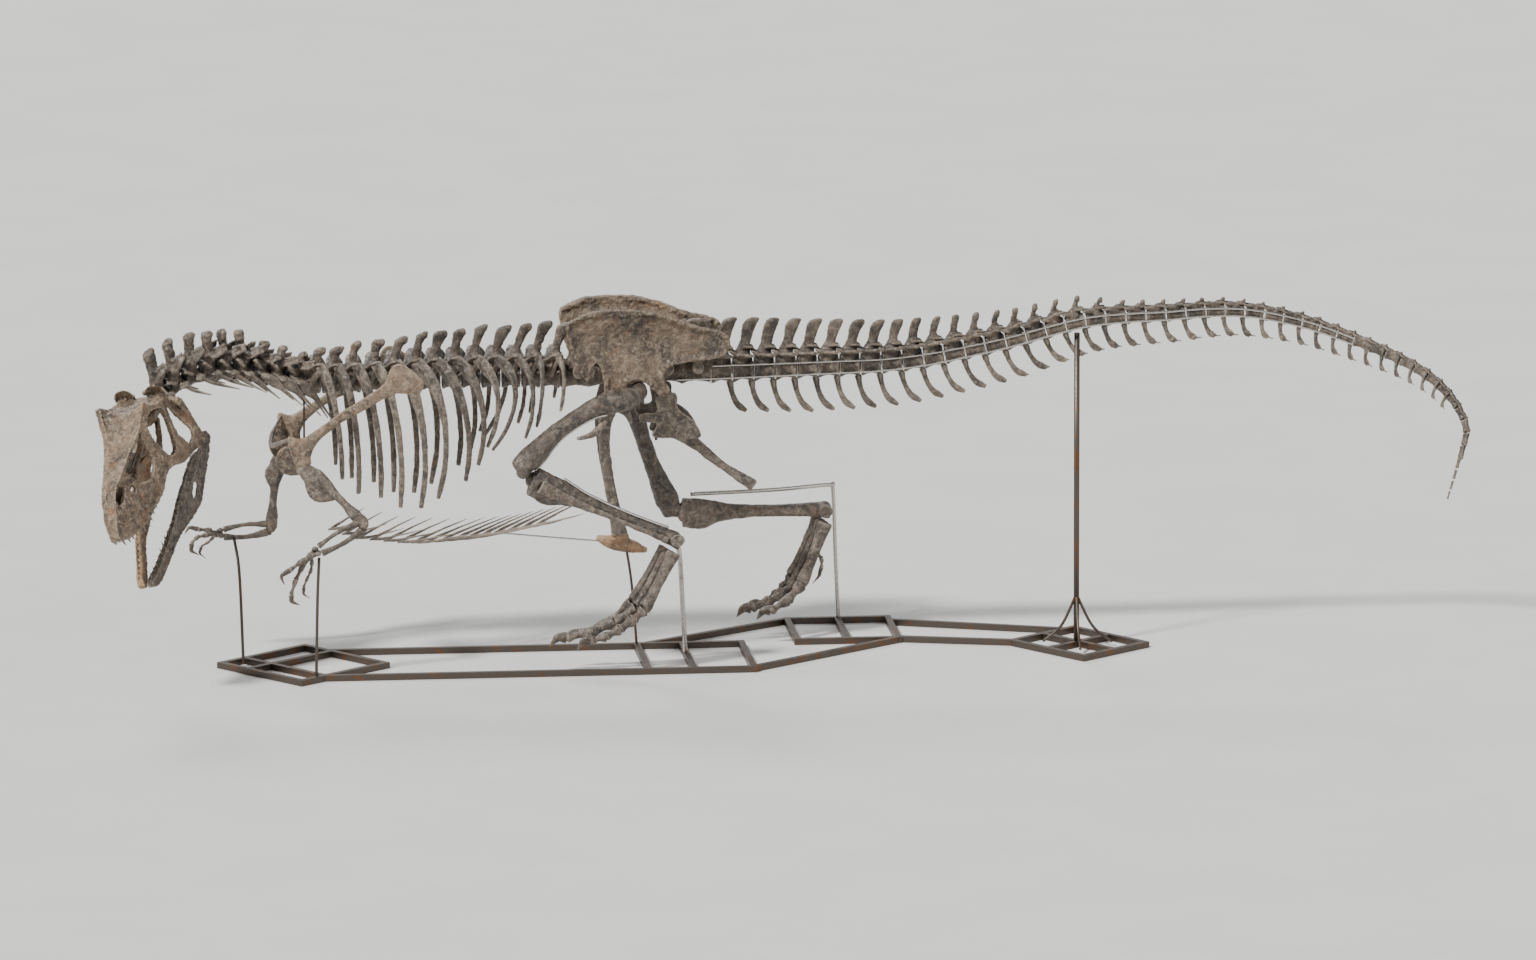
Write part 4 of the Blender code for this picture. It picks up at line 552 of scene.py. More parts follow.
BROWN = BoneFinish("brown_bone", "bone_brown", (0.032, 0.026, 0.021), (0.112, 0.086, 0.064),
                   (0.330, 0.268, 0.204), rust_share=0.45, pale_share=0.62)
TAN = BoneFinish("tan_bone", "bone_tan", (0.048, 0.035, 0.026), (0.185, 0.130, 0.084),
                 (0.400, 0.310, 0.212), rust=(0.300, 0.128, 0.048), rust_share=0.80, pale_share=0.66,
                 grain=0.85, relief=0.95, gloss=0.50)
ORANGE = BoneFinish("orange_bone", "bone_tan", (0.110, 0.062, 0.032), (0.270, 0.150, 0.072),
                    (0.460, 0.330, 0.200), rust=(0.340, 0.140, 0.050), rust_share=0.70, relief=0.85)
DARK = BoneFinish("dark_bone", "bone_dark", (0.028, 0.022, 0.017), (0.100, 0.076, 0.054),
                  (0.290, 0.232, 0.172), rust_share=0.40, pale_share=0.60)
CLAW = BoneFinish("claw_bone", "bone_dark", (0.020, 0.015, 0.012), (0.066, 0.047, 0.033),
                  (0.200, 0.150, 0.104), rust_share=0.25, relief=0.45, gloss=0.28)
STEEL = SteelFinish("waxed_steel", "frame_steel", (0.105, 0.088, 0.074), (0.165, 0.082, 0.042),
                    0.42)
POLISHED = SteelFinish("polished_rod", "bright_rod", (0.560, 0.530, 0.490), (0.300, 0.235, 0.170),
                       0.22, 0.60)


# Backbone
@dataclass
class Seat:
    """A place on the backbone with its own axes: along to the tail, left, and up."""

    centre: Vector
    along: Vector
    left: Vector
    up: Vector

    def at(self, a: float, side: float, u: float) -> Vector:
        """The point at these offsets from the seat."""
        return self.centre + self.along * a + self.left * side + self.up * u


@dataclass
class Backbone:
    """The run of the backbone, from the back of the skull to the tip of the tail."""

    course: Points = (
        (-2.748, -0.338, 1.566), (-2.690, -0.300, 1.608), (-2.600, -0.260, 1.660),
        (-2.460, -0.190, 1.700), (-2.260, -0.100, 1.685), (-2.060, -0.040, 1.640),
        (-1.890, -0.010, 1.600), (-1.660, 0.000, 1.590), (-1.320, 0.000, 1.603),
        (-0.960, 0.000, 1.612), (-0.560, 0.000, 1.610), (-0.340, 0.000, 1.608),
        (0.280, 0.000, 1.622), (0.480, 0.000, 1.625), (0.985, 0.000, 1.636),
        (1.490, 0.000, 1.655), (2.030, 0.000, 1.748), (2.510, 0.000, 1.862),
        (2.960, 0.000, 1.888), (3.350, -0.020, 1.905), (3.710, -0.080, 1.846),
        (4.030, -0.200, 1.745), (4.310, -0.360, 1.632), (4.480, -0.500, 1.508),
        (4.570, -0.620, 1.348), (4.540, -0.700, 1.206), (4.450, -0.800, 0.955),
    )
    neck_x: float = -2.742
    trunk_x: float = -1.90
    hip_x: float = -0.445
    tail_x: float = 0.395
    samples: int = 900
    points: np.ndarray = field(init=False)
    length: np.ndarray = field(init=False)
    tangents: np.ndarray = field(init=False)
    ups: np.ndarray = field(init=False)

    def __post_init__(self) -> None:
        """Carries a frame along the curve without twist."""
        self.points = smooth_path(self.course, self.samples)
        steps = np.linalg.norm(np.diff(self.points, axis=0), axis=1)
        self.length = np.concatenate([[0], np.cumsum(steps)])
        slopes = np.gradient(self.points, axis=0)
        self.tangents = slopes / np.linalg.norm(slopes, axis=1)[:, None]
        middle = int(np.argmin(np.abs(self.points[:, 0])))
        self.ups = np.zeros_like(self.points)
        self.ups[middle] = (0, 0, 1)
        for step, stop in ((1, self.samples), (-1, -1)):
            for k in range(middle + step, stop, step):
                up = self.ups[k - step]
                up = up - self.tangents[k] * (up @ self.tangents[k])
                self.ups[k] = up / np.linalg.norm(up)

    def at_x(self, x: float) -> float:
        """The length along the curve where it first passes x."""
        return float(np.interp(x, self.points[:600, 0], self.length[:600]))

    def seat(self, s: float) -> Seat:
        """The seat at the length s."""
        rows = [Vector([float(np.interp(s, self.length, table[:, k])) for k in range(3)])
                for table in (self.points, self.tangents, self.ups)]
        along = rows[1].normalized()
        up = (rows[2] - along * rows[2].dot(along)).normalized()
        return Seat(rows[0], along, along.cross(up).normalized(), up)

    def joints(self, start: float, end: float, count: int) -> np.ndarray:
        """Even joints of count vertebrae between two places along X."""
        return np.linspace(self.at_x(start), self.at_x(end), count + 1)

    def tail_joints(self, count: int = 48) -> np.ndarray:
        """The joints of the tail vertebrae, closer together towards the tip."""
        start, end = self.at_x(self.tail_x), float(self.length[-1]) - 0.004
        pitch = np.interp(range(count), [0, 12, 26, 36, 47], [0.128, 0.124, 0.116, 0.098, 0.062])
        places = np.concatenate([[0], np.cumsum(pitch)])
        return start + places * (end - start) / places[-1]


def post(seat: Seat, stages: Points, sides: int = 12) -> Shape:
    """An upright oval blade on a seat: stages give (up, along, half length, half width)."""
    return loft([ring(seat.at(shift, 0, rise), seat.along, seat.left, length, width, sides)
                 for rise, shift, length, width in stages])


@dataclass
class Vertebra:
    """One vertebra: a waisted body, an arch, a spine, joint processes and side wings."""

    seat: Seat
    length: float
    radius: float
    rise: float
    lean: float
    skirt: float
    half: float
    crown: float
    thick: float
    wing: float = 0.0
    wing_rise: float = 0.0
    sweep: float = 0.02
    wing_half: float = 0.030
    joint: float = 1.0
    tilt: float = 0.0

    def body(self) -> Shape:
        """The spool-shaped body with its dished ends."""
        span, r = self.length / 2, self.radius
        lip = min(0.008, span * 0.2)
        spool = [(-span + lip, 0.45), (-span, 0.88), (-span + lip, 1.0), (-span * 0.5, 0.84),
                 (0, 0.76), (span * 0.5, 0.84), (span - lip, 1.0), (span, 0.88), (span - lip, 0.45)]
        return loft([ring(self.seat.at(a, 0, 0), self.seat.left, self.seat.up, r * k, r * k * 1.06, 18)
                     for a, k in spool])

    def spine(self) -> Shape:
        """The arch and the blade above it, waisted low down, with a slanted, swollen top."""
        r, span, lean = self.radius, self.length / 2, self.lean
        tall = self.rise - r
        return post(self.seat, [
            (r * 0.50, 0.0, span * 0.78, r * 0.70),
            (r * 0.98, 0.0, span * 0.72, r * 0.56 + 0.005),
            (r + tall * 0.16, lean * 0.05, self.skirt * 1.10, self.thick * 2.1),
            (r + tall * 0.30, lean * 0.22, self.skirt * 0.85, self.thick * 1.5),
            (r + tall * 0.44, lean * 0.40, self.half, self.thick),
            (r + tall * 0.66, lean * 0.66, (self.half + self.crown) / 2, self.thick * 0.95),
            (self.rise - 0.036, lean * 0.92, self.crown, self.thick * 1.25),
            (self.rise - 0.012, lean + self.tilt, self.crown * 0.94, self.thick * 1.45),
            (self.rise, lean + self.tilt * 2, self.crown * 0.55, self.thick * 0.8),
        ])

    def processes(self, side: int) -> list[Shape]:
        """The joint processes and the wing of one side.

        Args:
            side: 1 for the left and -1 for the right.

        Returns:
            The closed shapes.
        """
        seat, r, span = self.seat, self.radius, self.length / 2
        tall, k = self.rise - self.radius, self.joint
        shapes = []
        if k > 0:
            shapes.append(bent([
                seat.at(-span * 0.25, side * r * 0.34, r * 0.98),
                seat.at(-span * 0.90, side * r * 0.56, r + tall * 0.13),
                seat.at(-span * 1.32, side * r * 0.58, r + tall * 0.19),
            ], 7, [0.016 * k, 0.014 * k, 0.009 * k], [0.018 * k, 0.013 * k, 0.007 * k], 8, seat.left))
            shapes.append(bent([
                seat.at(span * 0.10, side * r * 0.22, r + tall * 0.26),
                seat.at(span * 0.75, side * r * 0.40, r + tall * 0.27),
                seat.at(span * 1.15, side * r * 0.42, r + tall * 0.23),
            ], 7, [0.014 * k, 0.015 * k, 0.008 * k], [0.014 * k, 0.011 * k, 0.007 * k], 8, seat.left))
        if self.wing:
            root, w = r + 0.2 * (self.wing_rise - r), self.wing_half
            shapes.append(bent([
                seat.at(0, side * 0.012, root), seat.at(self.sweep * 0.4, side * self.wing * 0.5,
                                                      (root + self.wing_rise) / 2),
                seat.at(self.sweep, side * self.wing, self.wing_rise),
            ], 8, [w * 1.45, w * 1.1, w * 0.86, w, w * 0.70], [0.022, 0.014, 0.010, 0.012, 0.010], 10,
                seat.along))
        return shapes

    def shapes(self) -> list[Shape]:
        """All the closed shapes of the vertebra."""
        return [self.body(), self.spine(), *self.processes(1), *self.processes(-1)]


def pick(n: float, places: Span, values: Span) -> float:
    """The value at n on a line through values at places."""
    return float(np.interp(n, places, values))


@dataclass
class Tail:
    """The tail vertebrae with their chevrons, in four stretches, and the wire round each body."""

    bone: Backbone
    stretches: Sequence[tuple[str, int, int]] = (
        ("tail_root", 0, 11), ("tail_middle", 12, 23), ("tail_rear", 24, 35), ("tail_tip", 36, 47))
    gap: float = 0.007
    wire: float = 0.0014

    @staticmethod
    def radius(n: float) -> float:
        """The radius of tail vertebra n."""
        return pick(n, [0, 6, 12, 20, 30, 38, 47], [0.070, 0.064, 0.054, 0.043, 0.032, 0.022, 0.007])

    def vertebra(self, n: int, joints: np.ndarray) -> Vertebra:
        """Tail vertebra n, set between its joints."""
        rise = pick(n, [0, 5, 9, 14, 17, 19, 26, 36, 42, 47],
                    [0.300, 0.265, 0.235, 0.175, 0.150, 0.098, 0.070, 0.048, 0.030, 0.010])
        wing = pick(n, [0, 4, 12, 16, 17], [0.190, 0.170, 0.100, 0.065, 0.0])
        radius = self.radius(n)
        return Vertebra(
            self.bone.seat((joints[n] + joints[n + 1]) / 2), joints[n + 1] - joints[n] - self.gap,
            radius, rise, pick(n, [0, 8, 16, 20, 36], [0.050, 0.045, 0.030, 0.040, 0.030]),
            pick(n, [0, 8, 12, 20, 36], [0.040, 0.042, 0.044, 0.036, 0.021]),
            pick(n, [0, 8, 12, 20, 36], [0.034, 0.028, 0.019, 0.017, 0.013]) + 0.002 * math.sin(n * 3.7),
            pick(n, [0, 5, 8, 10, 14, 18, 36], [0.042, 0.041, 0.036, 0.026, 0.019, 0.016, 0.011]),
            pick(n, [0, 20, 36], [0.012, 0.010, 0.0065]), wing, radius + 0.040, 0.030,
            pick(n, [0, 16], [0.040, 0.026]), pick(n, [0, 20, 36, 44], [1.15, 1.0, 0.6, 0.35]),
            pick(n, [0, 6, 12], [0.011, 0.009, 0.004]) + 0.003 * math.sin(n * 2.1))

    def knobs(self, bone: Vertebra, n: int) -> list[Shape]:
        """The swollen back corner of a spine's top, and the lump at its foot."""
        if n > 18:
            return []
        seat, axes = bone.seat, (bone.seat.along, bone.seat.left, bone.seat.up)
        size = pick(n, [0, 18], [1.0, 0.5])
        return [
            blob(seat.at(bone.lean + bone.crown * 0.60, 0, bone.rise - 0.022 * size),
                 (0.016 * size, 0.015 * size, 0.024 * size), axes),
            blob(seat.at(bone.lean * 0.4 + bone.half * (0.7 if n % 2 else -0.7), 0,
                         bone.radius + (bone.rise - bone.radius) * 0.46),
                 (0.010 * size, 0.010 * size, 0.026 * size), axes),
        ]

    def chevron(self, n: int, joints: np.ndarray) -> list[Shape]:
        """The blade under the joint behind vertebra n."""
        seat, radius = self.bone.seat(joints[n + 1] - 0.012), self.radius(n)
        length = pick(n, [0, 3, 12, 18, 28, 38], [0.170, 0.190, 0.170, 0.125, 0.085, 0.050])
        foot = pick(n, [0, 8, 14, 22, 38], [0.002, 0.006, 0.012, 0.022, 0.014])
        size = pick(n, [0, 20, 38], [1.0, 0.85, 0.6])
        low = -radius - length
        blade = bent([
            seat.at(0.0, 0, -radius * 0.92), seat.at(length * 0.07, 0, -radius - length * 0.38),
            seat.at(length * 0.24, 0, -radius - length * 0.76), seat.at(length * 0.54, 0, low),
        ], 16, [0.014 * size, 0.010 * size, 0.009 * size, 0.009 * size, 0.010 * size, 0.006 * size],
            [0.023 * size, 0.017 * size, 0.016 * size, 0.019 * size, (0.020 + foot * 0.3) * size,
             (0.011 + foot * 0.3) * size], 12, seat.left)
        shapes = [blade]
        if n > 12:
            shapes.append(bent([seat.at(length * 0.55 - foot * 1.6, 0, low + foot * 0.3),
                                seat.at(length * 0.55 + foot * 1.5, 0, low + foot * 0.1)], 2,
                               [0.006 * size] * 2, [0.008 * size, 0.006 * size], 8, seat.left))
        for side in (1, -1):
            shapes.append(bent([seat.at(0.002, side * radius * 0.42, -radius * 0.86),
                                seat.at(0.004, side * 0.004, -radius - length * 0.22)], 2,
                               [0.010 * size, 0.007 * size], [0.012 * size, 0.010 * size], 8,
                               seat.along))
        return shapes

    def bands(self, joints: np.ndarray) -> list[Shape]:
        """The thin wires that tie the long rods to the bodies."""
        shapes = []
        for n in range(0, 34):
            seat, reach = self.bone.seat(joints[n] + 0.001), self.radius(n) + 0.0035
            loop = [seat.at(0, math.cos(t) * reach, math.sin(t) * reach * 1.06)
                    for t in np.linspace(0, 2 * math.pi, 25)]
            shapes.append(bent(loop, 25, [self.wire], [self.wire], 6, seat.along))
        return shapes

    def build(self) -> None:
        """Makes and dresses the tail."""
        joints = self.bone.tail_joints()
        for name, first, last in self.stretches:
            clay = Clay(voxel=pick(first, [0, 36], [0.0050, 0.0032]), rounds=2,
                        lump=pick(first, [0, 36], [0.007, 0.003]), pit=pick(first, [0, 36], [0.0036, 0.0015]))
            slim = Clay(voxel=pick(first, [0, 36], [0.0042, 0.0030]), rounds=2, lump=0.003, pit=0.0014)
            meshes, blades = [], []
            for n in range(first, last + 1):
                bone = self.vertebra(n, joints)
                meshes.append(clay.sculpt(bone.shapes() + self.knobs(bone, n) if n < 44 else [bone.body()]))
                if n < 39:
                    blades.append(slim.sculpt(self.chevron(n, joints)))
            show(name + "_bones", meshes, DARK, [name])
            show(name + "_chevrons", blades, BROWN)
        show("tail_wires", [raw_mesh(self.bands(joints))], POLISHED)


@dataclass
class Trunk:
    """The trunk vertebrae and the ribs that hang from them."""

    bone: Backbone
    count: int = 13
    gap: float = 0.007
    # Each left rib: lower end's x, half width and height, widest half width, and bow to the rear
    ribs: Points = (
        (-1.690, 0.205, 1.085, 0.215, 0.030), (-1.600, 0.215, 1.005, 0.240, 0.036),
        (-1.475, 0.215, 0.980, 0.262, 0.040), (-1.365, 0.215, 0.920, 0.275, 0.050),
        (-1.250, 0.215, 0.915, 0.282, 0.075), (-1.155, 0.215, 0.965, 0.285, 0.092),
        (-1.000, 0.220, 1.065, 0.285, 0.080), (-0.930, 0.225, 1.155, 0.280, 0.078),
        (-0.880, 0.225, 1.255, 0.272, 0.080), (-0.850, 0.220, 1.235, 0.262, 0.100),
        (-0.665, 0.215, 1.300, 0.250, 0.058), (-0.600, 0.205, 1.360, 0.235, 0.020),
        (-0.465, 0.190, 1.445, 0.210, 0.020))

    def vertebra(self, n: int, joints: np.ndarray) -> Vertebra:
        """Trunk vertebra n, set between its joints."""
        radius = pick(n, [0, 12], [0.050, 0.064])
        crown = 0.032 + 0.007 * math.sin(n * 2.3) + pick(n, [0, 12], [0.0, 0.006])
        rise = pick(n, [0, 3, 6, 9, 12], [0.210, 0.245, 0.275, 0.298, 0.315]) + 0.008 * math.sin(n * 4.1)
        return Vertebra(
            self.bone.seat((joints[n] + joints[n + 1]) / 2), joints[n + 1] - joints[n] - self.gap,
            radius, rise, pick(n, [0, 5, 12], [0.030, 0.060, 0.075]) + 0.012 * math.sin(n * 5.2), 0.042,
            pick(n, [0, 12], [0.020, 0.022]), crown, 0.014, pick(n, [0, 4, 12], [0.130, 0.165, 0.150]),
            radius + 0.085, 0.030, 0.043, 1.35, 0.008 + 0.005 * math.sin(n * 1.7))

    def knobs(self, bone: Vertebra, n: int) -> list[Shape]:
        """The rough swellings on the top and edges of a spine."""
        seat, top, lean = bone.seat, bone.rise, bone.lean
        shapes = [blob(seat.at(lean + bone.crown * 0.62, 0, top - 0.020), (0.018, 0.019, 0.024),
                       (seat.along, seat.left, seat.up))]
        shapes.append(blob(seat.at(lean - bone.crown * 0.70, 0, top - 0.034), (0.015, 0.015, 0.020),
                           (seat.along, seat.left, seat.up)))
        for share in (0.42, 0.60):
            spot = seat.at(lean * share + bone.half * (0.8 if n % 2 else -0.8), 0,
                           bone.radius + (top - bone.radius) * share)
            shapes.append(blob(spot, (0.011, 0.009, 0.026), (seat.along, seat.left, seat.up)))
        return shapes

    def rib(self, n: int, side: Side, joints: np.ndarray) -> list[Shape]:
        """The rib n of one side with its two heads.

        Args:
            n: The rib's number from the front.
            side: The side that it is on.
            joints: The joints of the trunk vertebrae.

        Returns:
            The closed shapes.
        """
        bone = self.vertebra(n, joints)
        seat = bone.seat
        end_x, end_half, end_z, widest, bow = self.ribs[n]
        tip = seat.at(0.030, bone.wing * 0.90, bone.radius + 0.076)
        path = [tip]
        for share, back, half in ((0.07, 0.45, widest * 0.82), (0.22, 0.85, widest * 0.96),
                                  (0.45, 1.00, widest), (0.74, 0.70, (widest + end_half) / 2),
                                  (1.00, 0.00, end_half)):
            path.append(Vector((tip.x + (end_x - tip.x) * share + bow * back, -half,
                                tip.z + (end_z - tip.z) * share)))
        wide = pick(n, [0, 3, 4, 6, 8, 10, 12], [0.026, 0.028, 0.036, 0.035, 0.030, 0.022, 0.015])
        low = pick(n, [0, 3, 6, 9, 12], [0.016, 0.018, 0.017, 0.013, 0.012])
        shaft = bent(path, 30, [0.013, 0.013, 0.012, 0.011, 0.011, 0.010, 0.010, 0.009, 0.008],
                     [wide * 0.85, wide, wide * 0.92, wide * 0.68, low * 1.1, low, low, low * 1.05,
                      low * 0.80], 12, (0.2, 1.0, 0.2))
        head = bent([seat.at(-0.004, bone.radius * 0.80, bone.radius * 0.30),
                     tip.lerp(path[1], 0.40), path[2]], 8,
                    [0.017, 0.012, 0.009], [0.018, wide * 0.75, wide * 0.55], 10, (0, 0.4, 1))
        web = bent([tip - Vector((0.012, 0, 0)), path[2]], 2, [0.011, 0.009], [wide * 1.10, wide * 0.75],
                   10, (0.2, 1.0, 0.2))
        keel = bent([path[1] + Vector((-wide * 0.5, -0.004, 0)), path[2] + Vector((-wide * 0.35, -0.008, 0)),
                     path[3] + Vector((-low * 0.3, -0.005, 0))], 10, [0.007, 0.008, 0.005],
                    [0.009, 0.009, 0.005], 8)
        shapes = [shaft, head, web, keel]
        return shapes if side is Side.LEFT else mirrored(shapes)

    def build(self) -> None:
        """Makes and dresses the trunk."""
        joints = self.bone.joints(self.bone.trunk_x, self.bone.hip_x, self.count)
        clay, meshes = Clay(voxel=0.0048, rounds=2, lump=0.008, pit=0.0040), []
        for n in range(self.count):
            bone = self.vertebra(n, joints)
            shapes = bone.shapes() + self.knobs(bone, n)
            for side in (1, -1):
                shapes.append(bent([
                    bone.seat.at(-0.012, side * bone.radius * 0.75, bone.radius * 0.35),
                    bone.seat.at(0.004, side * bone.wing * 0.45, bone.radius + 0.045),
                    bone.seat.at(0.020, side * bone.wing * 0.70, bone.radius + 0.072)], 6,
                    [0.022, 0.008, 0.010], [0.016, 0.014, 0.010], 8, bone.seat.along))
            meshes.append(clay.sculpt(shapes))
        show("trunk_vertebrae", meshes, BROWN, ["rib_cage_left", "rib_cage_right"])
        shaft = Clay(voxel=0.0044, rounds=2, lump=0.006, pit=0.0024)
        for side in Side:
            meshes = [shaft.sculpt(self.rib(n, side, joints)) for n in range(self.count)]
            show(f"ribs_{side.word}", meshes, BROWN, [f"rib_cage_{side.word}"])


@dataclass
class Neck:
    """The neck vertebrae with their slender ribs, counted from the skull."""

    bone: Backbone
    count: int = 9
    gap: float = 0.006
    rises: Span = (0.290, 0.280, 0.258, 0.242, 0.247, 0.242, 0.195, 0.190, 0.175)
    leans: Span = (0.048, 0.043, 0.038, -0.012, -0.050, -0.055, -0.005, 0.000, 0.022)

    def vertebra(self, n: int, joints: np.ndarray) -> Vertebra:
        """Neck vertebra n, counted from the skull."""
        radius = pick(n, [0, 3, 8], [0.036, 0.044, 0.052])
        return Vertebra(
            self.bone.seat((joints[n] + joints[n + 1]) / 2), joints[n + 1] - joints[n] - self.gap,
            radius, self.rises[n], self.leans[n], 0.048,
            pick(n, [0, 1, 4, 8], [0.038, 0.030, 0.027, 0.020]),
            pick(n, [0, 1, 4, 8], [0.042, 0.035, 0.031, 0.026]) + 0.003 * math.sin(n * 4.3),
            0.021, pick(n, [0, 8], [0.070, 0.105]), radius * 0.25, 0.030, 0.040, 1.6,
            0.006 * math.sin(n * 1.9))

    def shapes(self, n: int, joints: np.ndarray) -> list[Shape]:
        """Neck vertebra n with its wide joint processes and knobbly top."""
        bone = self.vertebra(n, joints)
        seat, r, span = bone.seat, bone.radius, bone.length / 2
        axes = (seat.along, seat.left, seat.up)
        shapes = bone.shapes()
        top = r + (bone.rise - r) * 0.46
        for side in (1, -1):
            shapes.append(bent([
                seat.at(-span * 0.1, side * r * 0.5, r * 0.9),
                seat.at(-span * 0.9, side * r * 1.10, r * 1.6),
                seat.at(-span * 1.5, side * r * 1.35, r * 2.0)], 8, [0.028, 0.034, 0.034, 0.018],
                [0.026, 0.019, 0.016, 0.010], 10, seat.left))
            shapes.append(bent([
                seat.at(-span * 0.2, side * r * 0.3, r + 0.040),
                seat.at(span * 0.8, side * r * 1.05, top - 0.010),
                seat.at(span * 1.7, side * r * 1.45, top + 0.016)], 8, [0.026, 0.034, 0.034, 0.016],
                [0.028, 0.021, 0.017, 0.010], 10, seat.left))
            shapes.append(bent([
                seat.at(span * 0.5, side * r * 0.55, top),
                seat.at(span * 1.25, side * r * 1.0, top + 0.022),
                seat.at(span * 1.75, side * r * 1.1, top + 0.036)], 8, [0.012, 0.015, 0.007],
                [0.020, 0.016, 0.007], 8, seat.left))
            shapes.append(blob(seat.at(bone.lean * 0.8, side * 0.014, bone.rise - 0.040),
                               (bone.crown * 0.8, 0.016, 0.026), axes))
        shapes.append(blob(seat.at(bone.lean + bone.crown * 0.45, 0, bone.rise - 0.016),
                           (0.024, 0.027, 0.021), axes))
        return shapes

    def rib(self, n: int, side: int, joints: np.ndarray) -> list[Shape]:
        """The slender rib of vertebra n on one side, which points back and down."""
        bone = self.vertebra(n, joints)
        reach = pick(n, [0, 1, 2, 4, 5, 6, 8], [0.060, 0.150, 0.220, 0.190, 0.180, 0.240, 0.260])
        drop = pick(n, [0, 3, 5, 8], [0.03, 0.07, 0.13, 0.23])
        start = bone.seat.at(0.020, side * bone.wing * 0.92, bone.radius * 0.2)
        wide = pick(n, [0, 5, 6, 8], [0.012, 0.013, 0.034, 0.040])
        shaft = bent([
            start + Vector((-0.030, 0, 0.014)), start + Vector((0.010, 0, -0.004)),
            start + Vector((reach * 0.40, 0, -0.012 - drop * 0.38)),
            start + Vector((reach * math.cos(drop * 3), 0, -drop - 0.01))], 16,
            [0.009, 0.010, 0.006, 0.005, 0.004], [0.012, wide, 0.012, 0.007, 0.004], 10)
        return [shaft, blob(start + Vector((0, 0, 0.004)), (0.026, 0.014, 0.018))]

    def build(self) -> None:
        """Makes and dresses the neck."""
        joints = self.bone.joints(self.bone.neck_x, self.bone.trunk_x, self.count)
        clay = Clay(voxel=0.0053, rounds=1, lump=0.012, lump_size=0.032, pit=0.0046)
        fine = Clay(voxel=0.0034, rounds=1, lump=0.002, pit=0.001)
        meshes = [clay.sculpt(self.shapes(n, joints)) for n in range(self.count)]
        meshes += [fine.sculpt(self.rib(n, side, joints)) for n in range(self.count) for side in (1, -1)]
        show("neck_bones", meshes, BROWN, ["neck"])


